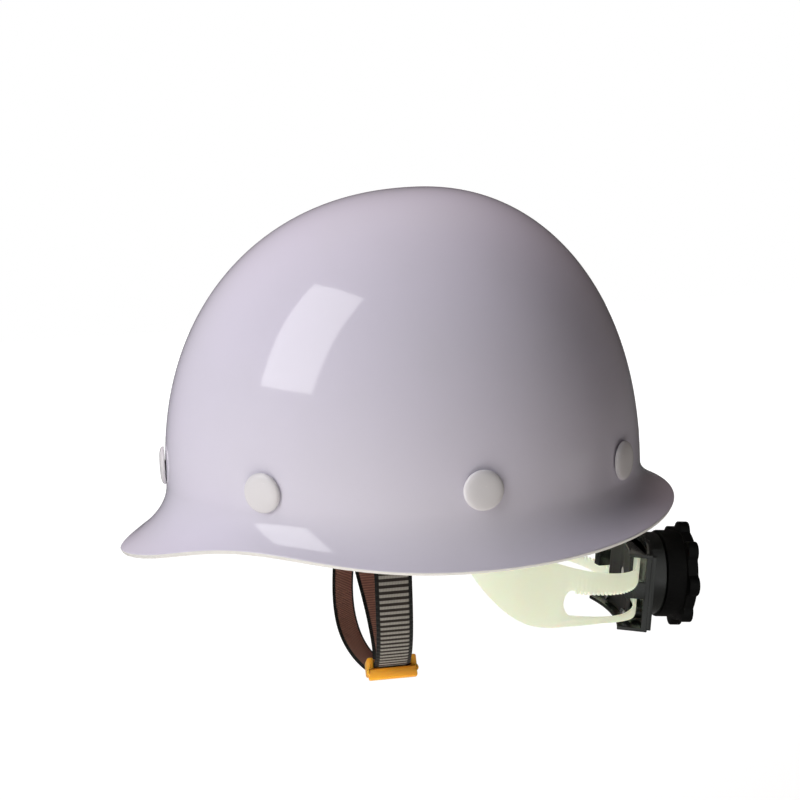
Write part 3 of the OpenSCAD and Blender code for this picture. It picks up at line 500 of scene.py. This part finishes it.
# Shell: across runs round from the left ear, and along runs from the rim up to the crown
def plan_spot(turn):
    """The shell's waist from above: an ellipse that is drawn out to the front."""
    c, s = math.cos(turn), math.sin(turn)
    return DOME_HALF_W * c, DOME_HALF_L * s - DOME_EGG * s * s


def plan_way(turn):
    """The way out of the waist, not of unit length."""
    c, s = math.cos(turn), math.sin(turn)
    return DOME_HALF_L * c - 2 * DOME_EGG * s * c, DOME_HALF_W * s


def from_front(turn):
    return abs((math.degrees(turn) + 270) % 360 - 180)


def hump(value, middle, spread):
    return math.exp(-((value - middle) / spread) ** 2)


def brim(turn):
    """How far the flare reaches out of the waist."""
    peak = math.exp(-(from_front(turn) / PEAK_ANGLE) ** PEAK_POWER)
    rear = max(0.0, math.sin(turn)) ** REAR_POWER
    return BRIM_SIDE + (BRIM_FRONT - BRIM_SIDE) * peak + (BRIM_REAR - BRIM_SIDE) * rear


def rim_z(turn):
    front = from_front(turn)
    return (RIM_FRONT_Z * hump(front, 0, RIM_FRONT_SPREAD)
            + RIM_TEMPLE_RISE * hump(front, RIM_TEMPLE_ANGLE, RIM_TEMPLE_SPREAD)
            + RIM_REAR_Z * max(0.0, math.sin(turn)) ** 2)


def shell_place(across, along):
    turn = math.tau * across
    plan_x, plan_y = plan_spot(turn)
    if along < FLARE_SHARE:
        v = 1 - along / FLARE_SHARE
        reach = brim(turn) * (FLARE_SOFT * v * v * (3 - 2 * v)
                              + (1 - FLARE_SOFT) * v ** FLARE_POWER)
        return (plan_x + math.cos(turn) * reach, plan_y + math.sin(turn) * reach,
                WAIST_Z - (WAIST_Z - rim_z(turn)) * v)
    lift = math.pi / 2 * (along - FLARE_SHARE) / (1 - FLARE_SHARE)
    share = max(0.0, math.cos(lift)) ** (2 / DOME_POWER)
    height = DOME_H * math.sin(lift) ** (2 / DOME_POWER)
    return plan_x * share, plan_y * share, WAIST_Z + height


def make_shell():
    piece = wrapped_grid("shell_moulding", columns=240, rows=130, place=shell_place)
    weld(piece)
    # The wall's inner and cut faces take the second and third of these
    dress(piece, [shell_gloss, shell_inside, shell_cut_edge])
    apply_modifier(piece, "SOLIDIFY", thickness=WALL * MM, offset=-1, use_even_offset=True,
                   material_offset=1, material_offset_rim=2)
    apply_modifier(piece, "BEVEL", width=RIM_ROUNDING * MM, segments=4, limit_method="ANGLE",
                   angle_limit=rad(50))
    activate(piece)
    bpy.ops.object.shade_smooth()
    finish(piece, "helmet", stands_for=["shell"])


def rivet_matrix(degrees):
    """From a rivet's own axes, with +Z outwards, to its place on the shell."""
    turn = rad(degrees)
    way_x, way_y = plan_way(turn)
    place = Vector((*plan_spot(turn), RIVET_Z)) * MM
    outwards = Matrix.Rotation(math.atan2(way_y, way_x), 4, "Z")
    return Matrix.Translation(place) @ outwards @ Matrix.Rotation(rad(90), 4, "Y")


def make_rivets():
    """Domed heads on the shell, with shanks that are clenched over washers inside."""
    fullness, steps = 2 / 3.0, 14
    turns = [rad(90 * i / steps) for i in range(steps)]
    head = [(RIVET_HEAD_R * math.sin(turn) ** fullness,
             SEAT_GAP + RIVET_HEAD_H * math.cos(turn) ** fullness) for turn in turns]
    tip = -CLENCH_DEPTH - CLENCH_T
    # The clenched foot's corners are drawn in by tenths of a millimetre
    profile = head + [
        (RIVET_HEAD_R, SEAT_GAP), (SHANK_R, SEAT_GAP), (SHANK_R, -CLENCH_DEPTH),
        (FOOT_R - 0.5, -CLENCH_DEPTH), (FOOT_R, -CLENCH_DEPTH - 0.4), (FOOT_R - 0.3, tip + 0.3),
        (FOOT_R - 1.2, tip), (0, tip)]
    model = turned("rivet_model", profile, steps=72)
    for number, degrees in enumerate(RIVET_ANGLES):
        rivet = placed_copy(model, f"rivet_{number + 1}", rivet_matrix(degrees))
        shade(rivet, 50)
        finish(rivet, "helmet", [rivet_gloss], ["rivets"])
    bpy.data.objects.remove(model)


# Webbing: a closed section swept along a path of (point, across, face) frames
def webbing_strip(name, path, width, thick, rows, ribs=0.0, back_ribs=0.0, painted_shade_from=2.0):
    """path(share) gives the webbing's middle, its way across and its outer face. Past the share
    painted_shade_from both faces are the plain side of the weave, whose colours on the chin
    webbing hold painted shade."""
    columns, path_steps = 32, 400
    edge_power, ribs_end, ribs_fade = 14, 0.72, 0.12
    length = sum((path((k + 1) / path_steps)[0] - path(k / path_steps)[0]).length
                 for k in range(path_steps))

    def section(across):
        """Place in the section: from side 1 to -1 on the face, then back on the rear."""
        half = (across * 2) % 1 if across < 1 else 1.0
        side = math.sin(math.pi / 2 * (1 - 2 * half))
        return (side, True) if across < 0.5 else (-side, False)

    def place(across, along):
        side, is_face = section(across)
        point, way, face = path(along)
        edge = math.sqrt(max(0.0, 1 - abs(side) ** edge_power))
        inner = 1 - smooth((abs(side) - ribs_end) / ribs_fade)
        high, pitches = (ribs, 1) if is_face and along < painted_shade_from else (back_ribs, 2)
        rib = high * (0.5 + 0.5 * math.cos(pitches * math.tau * along * length / RIB_PITCH))
        height = (thick / 2 * edge + rib * inner) * (1 if is_face else -1)
        return point + way * (side * width / 2) + face * height

    piece = wrapped_grid(name, columns, rows, place)
    layout = piece.data.uv_layers.active.data
    for polygon in piece.data.polygons:
        corners = polygon.loop_indices
        middle = sum(layout[i].uv.x for i in corners) / len(corners)
        end = sum(layout[i].uv.y for i in corners) / len(corners)
        # Past the turn's share both faces take the plain side's colours, which on the chin webbing
        # are painted shade
        shift = 0.0 if middle < 0.5 and end < painted_shade_from else PLAIN_SHIFT
        for i in corners:
            share = layout[i].uv.x
            side = math.sin(math.pi / 2 * (1 - 4 * share if share <= 0.5 else 4 * share - 3))
            layout[i].uv = (side + shift, layout[i].uv.y * length * MM)
    weld(piece, fill_ends=True)
    shade(piece, 60)
    return piece


def crown_path(from_degrees, to_degrees, layer):
    """The way of a crown strap: u runs from -1 at one rivet over the crown to 1 at the other."""
    # The strap stands upright from its end, below the rivet, to the bend above it
    bend, bend_z, end_z = 0.8, RIVET_Z + 6, RIVET_Z - 8
    fullness, turn_from, step = 0.95, 0.15, 0.01
    ends = [rad(from_degrees), rad(to_degrees)]
    normals = [Vector((*plan_way(t), 0)).normalized() for t in ends]
    feet = [Vector((*plan_spot(t), 0)) - n * (STRAP_DEPTH + WEBBING_T / 2)
            for t, n in zip(ends, normals)]
    top = CROWN_Z - layer * (WEBBING_T + CROWN_LAYER_GAP)
    centre = Vector((0, CROWN_Y, 0))
    run = feet[1] - feet[0]
    at_top = Vector((-run.y, run.x, 0)).normalized()

    def spot(u):
        inner = abs(u) / bend
        if inner > 1:
            share, z = 1.0, bend_z - (bend_z - end_z) * (abs(u) - bend) / (1 - bend)
        else:
            share = math.sin(math.pi / 2 * inner) ** fullness
            rise = max(0.0, math.cos(math.pi / 2 * inner)) ** fullness
            z = bend_z + (top - bend_z) * rise
        flat = centre + (feet[u > 0] - centre) * share
        return Vector((flat.x, flat.y, z))

    def path(share):
        u = 2 * share - 1
        n = normals[u > 0]
        at_end = Vector((n.y, -n.x, 0)) if u < 0 else Vector((-n.y, n.x, 0))
        mix = smooth((abs(u) - turn_from) / (bend - turn_from))
        way = at_end * mix + at_top * (1 - mix)
        run_way = (spot(min(1, u + step)) - spot(max(-1, u - step))).normalized()
        way = (way - run_way * way.dot(run_way)).normalized()
        return spot(u), way, run_way.cross(way)

    return path


def make_crown_straps():
    for layer, (name, ends) in enumerate(CROWN_STRAPS):
        strap = webbing_strip(f"crown_webbing_{name}", crown_path(*ends, layer),
                              CROWN_W, WEBBING_T, rows=120)
        finish(strap, "helmet", [crown_webbing], [f"crown_strap_{name}"])


# Chin webbing: q runs from 90 at the left bar through 0 at the bottom to -90 at the right bar
def loop_flat(q):
    """The loop's own line, which leans back a little on the left side."""
    lean_from, lean_ease, upright_from, upright_ease = 85, 50, -25, 45
    lean = (CHIN_LEAN * smooth((lean_from - q) / lean_ease)
            * smooth((q - upright_from) / upright_ease))
    return Vector((CHIN_HALF_W * math.sin(rad(q)), lean - CHIN_Y,
                   BAR_Z - CHIN_DROP * math.cos(rad(q))))


def loop_out(q):
    return Vector((CHIN_DROP * math.sin(rad(q)), 0, -CHIN_HALF_W * math.cos(rad(q)))).normalized()


def loop_frame(q):
    """The outer layer, which bulges forward and twists on the right side."""
    bulge_power, twist_power, bulge_out = 1.7, 1.4, 0.8
    far = clamp01((TWIST_FROM - q) / (TWIST_FROM + 90))
    bulge = math.sin(math.pi * far) ** bulge_power
    twist = rad(CHIN_TWIST) * math.sin(math.pi * far ** twist_power)
    out, side = loop_out(q), Vector((0, 1, 0))
    reach = 2 * TURN_R * smooth((-q - 90 + LAYER_EASE) / LAYER_EASE)
    across = side * math.cos(twist) + out * math.sin(twist)
    face = out * math.cos(twist) - side * math.sin(twist)
    point = loop_flat(q) - side * CHIN_BULGE * bulge + out * (reach + bulge_out * bulge)
    return point, across, face


def turn_frame(centre_x, degrees):
    """The webbing's turn round a hook's bar."""
    out = Vector((-math.cos(rad(degrees)), 0, math.sin(rad(degrees))))
    return Vector((centre_x, -CHIN_Y, BAR_Z)) + out * TURN_R, Vector((0, 1, 0)), out


def back_frame(q):
    """The layer that comes back from the right bar inside the loop, up to its tail."""
    early, fullness = 0.75, 1.5
    out = loop_out(q)
    far = clamp01((BACK_FROM - q) / (BACK_FROM + 90))
    shift = BACK_LEAN * max(0.0, math.sin(math.pi * far ** early)) ** fullness
    point = loop_flat(q) + Vector((0, shift, 0)) - out * LAYER_GAP * smooth((q + 90) / LAYER_EASE)
    return point, Vector((0, 1, 0)), -out


def chin_path():
    """The whole webbing by length: round the left bar, down, up, round the right bar and back.
    Also its length, and the share of it at which the right bar's turn starts."""
    steps = range(LOOP_STEPS + 1)
    frames = [turn_frame(BAR_X, FIRST_TURN - FIRST_TURN * k / TURN_STEPS)
              for k in range(TURN_STEPS)]
    frames += [loop_frame(90 - 180 * k / LOOP_STEPS) for k in steps]
    frames += [turn_frame(-BAR_X, 180 * k / TURN_STEPS) for k in range(1, TURN_STEPS)]
    frames += [back_frame(-90 + (TAIL_Q + 90) * k / LOOP_STEPS) for k in steps]
    marks = [0.0]
    for a, b in zip(frames, frames[1:]):
        marks.append(marks[-1] + (b[0] - a[0]).length)

    def path(share):
        goal = share * marks[-1]
        low, high = 0, len(marks) - 1
        while high - low > 1:
            middle = (low + high) // 2
            low, high = (middle, high) if marks[middle] <= goal else (low, middle)
        mix = (goal - marks[low]) / max(1e-9, marks[high] - marks[low])
        blended = [a.lerp(b, clamp01(mix)) for a, b in zip(frames[low], frames[high])]
        return blended[0], blended[1].normalized(), blended[2].normalized()

    return path, marks[-1], marks[TURN_STEPS + LOOP_STEPS] / marks[-1]


def make_chin_strap():
    path, length, turn_share = chin_path()
    print("chin webbing length in mm", round(length, 1))
    # Past the right bar's turn the tail shows the plain side on both faces, painted brown as shade
    strap = webbing_strip("chin_webbing", path, CHIN_W, WEBBING_T - RIB_H, rows=1000,
                          ribs=RIB_H, back_ribs=BACK_RIB_H, painted_shade_from=turn_share)
    finish(strap, "chin", [chin_webbing], ["chin_strap"])


# Sweatband: a pad with a crowned face and drawn-in edges, which two seams hold down while its
# filling swells between them
def sweat_place(across, along):
    degrees = SWEAT_FROM + SWEAT_SPAN * along
    fade = math.sin(math.pi * (SWEAT_END + (1 - 2 * SWEAT_END) * along)) ** SWEAT_END_POWER
    angle = math.tau * across
    lift = math.sin(angle)
    crown = abs(lift) ** SWEAT_FACE_POWER
    deep = SWEAT_DEEP * fade * crown if lift > 0 else -SWEAT_BACK * crown
    side = math.cos(angle)
    tall = SWEAT_HALF_H * fade * math.copysign(abs(side) ** SWEAT_EDGE_POWER, side)
    off = -SWEAT_GAP - deep
    return ((BAND_HALF_W + off) * math.cos(rad(degrees)),
            (BAND_HALF_L + off) * math.sin(rad(degrees)), SWEAT_MID_Z + tall)


def is_sewn(spot):
    """Whether a seam, an end or the headband holds a point of the pad, in millimetres."""
    back_depth, end_share, seam_reach = 0.9, 0.01, 1.5
    turn = math.atan2(spot.y / BAND_HALF_L, spot.x / BAND_HALF_W)
    along = clamp01((math.degrees(turn) - SWEAT_FROM) / SWEAT_SPAN)
    c, s = math.cos(turn), math.sin(turn)
    share = math.hypot(spot.x / BAND_HALF_W, spot.y / BAND_HALF_L)
    off = (share - 1) / (c * c / BAND_HALF_W + s * s / BAND_HALF_L)
    if off > -SWEAT_GAP - back_depth or along < end_share or along > 1 - end_share:
        return True
    return min((Vector(sweat_place(seam, along)) - spot).length for seam in SEAMS) < seam_reach


def swell(pad):
    """Fills a pad as cloth under pressure, with its sewn points held and its swelling limited."""
    frames = 20
    apply_modifier(pad, "REMESH", mode="VOXEL", voxel_size=SWEAT_VOXEL * MM)
    flat = [vertex.co.copy() for vertex in pad.data.vertices]
    sewn = pad.vertex_groups.new(name="sewn")
    sewn.add([i for i, spot in enumerate(flat) if is_sewn(spot / MM)], 1.0, "REPLACE")
    cloth = pad.modifiers.new("filling", "CLOTH")
    cloth.settings.vertex_group_mass = "sewn"
    cloth.settings.use_pressure = True
    cloth.settings.uniform_pressure_force = 4
    cloth.settings.effector_weights.gravity = 0
    cloth.collision_settings.use_collision = False
    cloth.point_cache.frame_start, cloth.point_cache.frame_end = 1, frames
    for step in range(1, frames + 1):
        bpy.context.scene.frame_set(step)
    activate(pad)
    bpy.ops.object.modifier_apply(modifier=cloth.name)
    bpy.context.scene.frame_set(1)
    for vertex, start in zip(pad.data.vertices, flat):
        moved = vertex.co - start
        if moved.length > SWEAT_SWELL * MM:
            vertex.co = start + moved.normalized() * SWEAT_SWELL * MM
    pad.vertex_groups.clear()
    apply_modifier(pad, "SUBSURF", levels=1, render_levels=1)


def make_stitches():
    """Thread along the pad's seams, one stitch about every 3 mm."""
    places, first, last, step = 66, 4, 62, 0.01
    thread_r, stitch_shape = 0.5, (2.8, 0.9, 0.7)
    bpy.ops.object.select_all(action="DESELECT")
    bpy.ops.mesh.primitive_uv_sphere_add(segments=8, ring_count=6, radius=thread_r * MM)
    model = bpy.context.active_object
    model.data.transform(Matrix.Diagonal((*stitch_shape, 1)))
    stitches = []
    for seam in SEAMS:
        for number in range(first, last + 1):
            along = number / places
            spot = Vector(sweat_place(seam, along)) * MM
            run = Vector(sweat_place(seam, along + step)) * MM - spot
            turn = run.to_track_quat("X", "Z").to_matrix().to_4x4()
            matrix = Matrix.Translation(spot) @ turn
            stitches.append(placed_copy(model, f"stitch_{number}", matrix))
    bpy.data.objects.remove(model)
    activate(stitches[0])
    for stitch in stitches:
        stitch.select_set(True)
    bpy.ops.object.join()
    row = bpy.context.active_object
    row.name = "sweatband_stitches"
    shade(row, 60)
    finish(row, "helmet", [stitch_thread])


def make_sweatband():
    pad = wrapped_grid("sweatband_pad", columns=40, rows=160, place=sweat_place)
    weld(pad, fill_ends=True)
    swell(pad)
    shade(pad, 60)
    finish(pad, "helmet", [sweatband_leather], ["sweatband"])
    make_stitches()


def make_moulded():
    for node, body, slot, width in MOULDED:
        piece = softened(node, width)
        finish(piece, body, [FINISHES[slot]], [node])


# Stage: a pale floor under the hanging helmet, a white surround and soft lamps
def make_camera():
    data = bpy.data.cameras.new("camera")
    data.sensor_width = CAMERA_SENSOR
    data.lens = CAMERA_LENS
    camera = new_piece("camera", data)
    place, aim = Vector(CAMERA_PLACE) * MM, Vector(CAMERA_AIM) * MM
    turn = (aim - place).to_track_quat("-Z", "Y").to_matrix()
    roll = Matrix.Rotation(rad(CAMERA_ROLL), 3, "Z")
    camera.matrix_world = Matrix.Translation(place) @ (turn @ roll).to_4x4()
    bpy.context.scene.camera = camera


def make_stage():
    bpy.ops.object.select_all(action="DESELECT")
    bpy.ops.mesh.primitive_plane_add(size=FLOOR_SIZE, location=(0, 0, FLOOR_Z))
    floor = bpy.context.active_object
    floor.name = "floor"
    material, tree, shader = new_material("floor_pale", 0.9)
    shader.inputs["Base Color"].default_value = (0.9, 0.9, 0.9, 1)
    light = add_node(tree, "ShaderNodeEmission")
    rays = add_node(tree, "ShaderNodeLightPath").outputs
    seen = maths(tree, "MAXIMUM", rays["Is Camera Ray"], rays["Is Glossy Ray"])
    seen = maths(tree, "MAXIMUM", seen, rays["Is Transmission Ray"])
    blend = add_node(tree, "ShaderNodeMixShader")
    # The far floor is as white as the surround, and the near floor keeps some of its shadow
    near, far, near_share = 0.35, 1.6, 0.75
    spot = coordinates(tree, "Object")
    distance = add_node(tree, "ShaderNodeVectorMath", operation="LENGTH")
    feed(tree, distance.inputs[0], spot)
    share = remapped(tree, distance.outputs["Value"], near, far, near_share)
    # Glossy pieces mirror a floor that is bright on the camera's side and dark under the helmet:
    # the helmet's shadow is painted into the light that the floor sends to glossy rays
    direct, painted_shade_end, bright_end, dark, bright = 1.2, 0.1, 0.8, 0.06, 0.8
    mirrored = remapped(tree, split(tree, spot)[0], painted_shade_end, bright_end, dark, bright)
    strength = maths(tree, "MULTIPLY_ADD", rays["Is Glossy Ray"],
                     maths(tree, "SUBTRACT", mirrored, direct), direct)
    feed(tree, light.inputs["Strength"], strength)
    feed(tree, blend.inputs[0], maths(tree, "MULTIPLY", seen, share))
    tree.links.new(shader.outputs[0], blend.inputs[1])
    tree.links.new(light.outputs[0], blend.inputs[2])
    tree.links.new(blend.outputs[0], tree.nodes["Material Output"].inputs[0])
    floor.data.materials.append(material)


def make_world():
    world = bpy.data.worlds.new("studio")
    bpy.context.scene.world = world
    world.use_nodes = True
    tree = world.node_tree
    surround = tree.nodes["Background"]
    rays = add_node(tree, "ShaderNodeLightPath").outputs
    seen = maths(tree, "MAXIMUM", rays["Is Camera Ray"], rays["Is Transmission Ray"])
    way = split(tree, coordinates(tree, "Generated"))
    mirrored = mixed(tree, remapped(tree, way[0], -0.2, 0.9), *MIRRORED)
    tone = mixed(tree, rays["Is Glossy Ray"], AMBIENT, mirrored)
    feed(tree, surround.inputs["Color"], mixed(tree, seen, tone, (1.0, 1.0, 1.0)))


def make_lamp(name, place, aim, size, power, colour=(1, 1, 1)):
    data = bpy.data.lights.new(name, "AREA")
    data.shape = "RECTANGLE"
    data.size, data.size_y = size
    data.energy = power
    data.color = colour
    lamp = new_piece(name, data)
    turn = (Vector(aim) - Vector(place)).to_track_quat("-Z", "Y").to_matrix()
    lamp.matrix_world = Matrix.Translation(Vector(place)) @ turn.to_4x4()
    return lamp


def make_fill(name, azimuth, height, share, colour):
    """A soft lamp by its direction, whose power gives the share of white that it adds. It isn't
    mirrored in the shell."""
    a, e = rad(azimuth), rad(height)
    way = Vector((math.cos(e) * math.cos(a), math.cos(e) * math.sin(a), math.sin(e)))
    power = share * (math.pi * FILL_DISTANCE) ** 2
    lamp = make_lamp(name, FILL_AIM + way * FILL_DISTANCE, FILL_AIM, (FILL_SIZE, FILL_SIZE),
                     power, colour)
    lamp.visible_glossy = False


def make_lamps():
    """The key lamp, whose light the shell mirrors, the fills, and what the table sends back."""
    make_lamp("key", place=(0.641, -1.080, 1.041), aim=(0.07, -0.059, 0.101),
              size=(0.70, 1.15), power=10.2)
    for fill in FILLS:
        make_fill(*fill)
    bounce = make_lamp("table_bounce", place=(0.05, 0.05, -0.285), aim=(0.05, 0.05, 1.0),
                       size=(1.1, 1.1), power=2.1, colour=(1.0, 0.94, 0.80))
    low = make_lamp("low_fill", place=(0.20, -0.09, -0.17), aim=(0.042, -0.028, -0.066),
                    size=(0.14, 0.14), power=0.21, colour=(1.0, 0.97, 0.90))
    for lamp in (bounce, low):
        lamp.visible_glossy = False
        lamp.visible_camera = False


surface_group = make_surface_group()
weave_group = make_weave_group()
shell_gloss = make_shell_material()
shell_inside = make_inside_material()
shell_cut_edge = make_rim_material()
# Plastics: name, light and dark tone, roughness where clean and scuffed, grain's height
rivet_gloss = plastic("rivet_gloss", (0.76, 0.74, 0.765), (0.735, 0.715, 0.735), 0.22, 0.35,
                      0.01)
pale_band = plastic("pale_band", (0.86, 0.87, 0.76), (0.82, 0.84, 0.73), 0.4, 0.5, 0.01,
                    Subsurface_Weight=0.4, Subsurface_Scale=0.006)
# The thin nape strip has a painted glow: its weak emission stands in for the light that it
# scatters from all sides
pale_strip_painted_glow = plastic("pale_strip_painted_glow", (0.93, 0.945, 0.80), (0.90, 0.92, 0.77), 0.5, 0.6, 0.01,
                     Subsurface_Weight=0.4, Subsurface_Scale=0.008, Transmission_Weight=0.5,
                     Emission_Color=(0.95, 1.0, 0.88, 1.0), Emission_Strength=0.16)
black_satin = plastic("black_satin", (0.002, 0.002, 0.002), (0.004, 0.0042, 0.004), 0.5, 0.6,
                      0.03, Specular_IOR_Level=0.1)
black_gloss = plastic("black_gloss", (0.009, 0.012, 0.010), (0.014, 0.017, 0.015), 0.24, 0.36,
                      0.02, Specular_IOR_Level=0.6)
dark_cover = plastic("dark_cover", (0.02, 0.02, 0.02), (0.03, 0.03, 0.03), 0.45, 0.55, 0.03)
white_acetal = plastic("white_acetal", (0.72, 0.72, 0.70), (0.66, 0.66, 0.64), 0.35, 0.45, 0.01)
stud_dark = plastic("stud_dark", (0.03, 0.03, 0.03), (0.045, 0.045, 0.045), 0.45, 0.55, 0.02)
orange_gloss = plastic("orange_gloss", (1.0, 0.50, 0.04), (0.98, 0.43, 0.03), 0.28, 0.4, 0.01,
                       Subsurface_Weight=0.25, Subsurface_Scale=0.003)
plain_steel = make_steel()
sweatband_leather = make_leather()
stitch_thread = make_thread()
# Webbings: rib, groove and selvage, then the plain side's rib and groove. The chin webbing's plain
# side is partly painted shade: its brown is darker than the weave, for the far layers that lie in
# shade
chin_webbing = make_webbing("chin_ribbed", (0.28, 0.265, 0.24), (0.016, 0.012, 0.010),
                            (0.004, 0.004, 0.004), (0.42, 0.19, 0.15), (0.24, 0.11, 0.085))
crown_webbing = make_webbing("crown_woven", (0.55, 0.55, 0.52), (0.40, 0.40, 0.38),
                             (0.48, 0.48, 0.46), (0.52, 0.52, 0.50), (0.40, 0.40, 0.38),
                             pitch=1.6, bump_mm=0.25)
# The material of each slot in MOULDED
FINISHES = {
    "washer": plain_steel, "band": pale_band, "hanger": pale_band, "stud": stud_dark,
    "nape_strap": pale_strip_painted_glow, "adjuster": black_gloss, "cover": dark_cover, "screw": plain_steel,
    "pinion": white_acetal, "detent": white_acetal, "knob": black_satin, "hook": plain_steel,
    "slider": orange_gloss,
}

bpy.context.scene.view_settings.view_transform = "Standard"
make_camera()
make_world()
make_lamps()
make_stage()
make_shell()
make_rivets()
make_crown_straps()
make_chin_strap()
make_sweatband()
make_moulded()
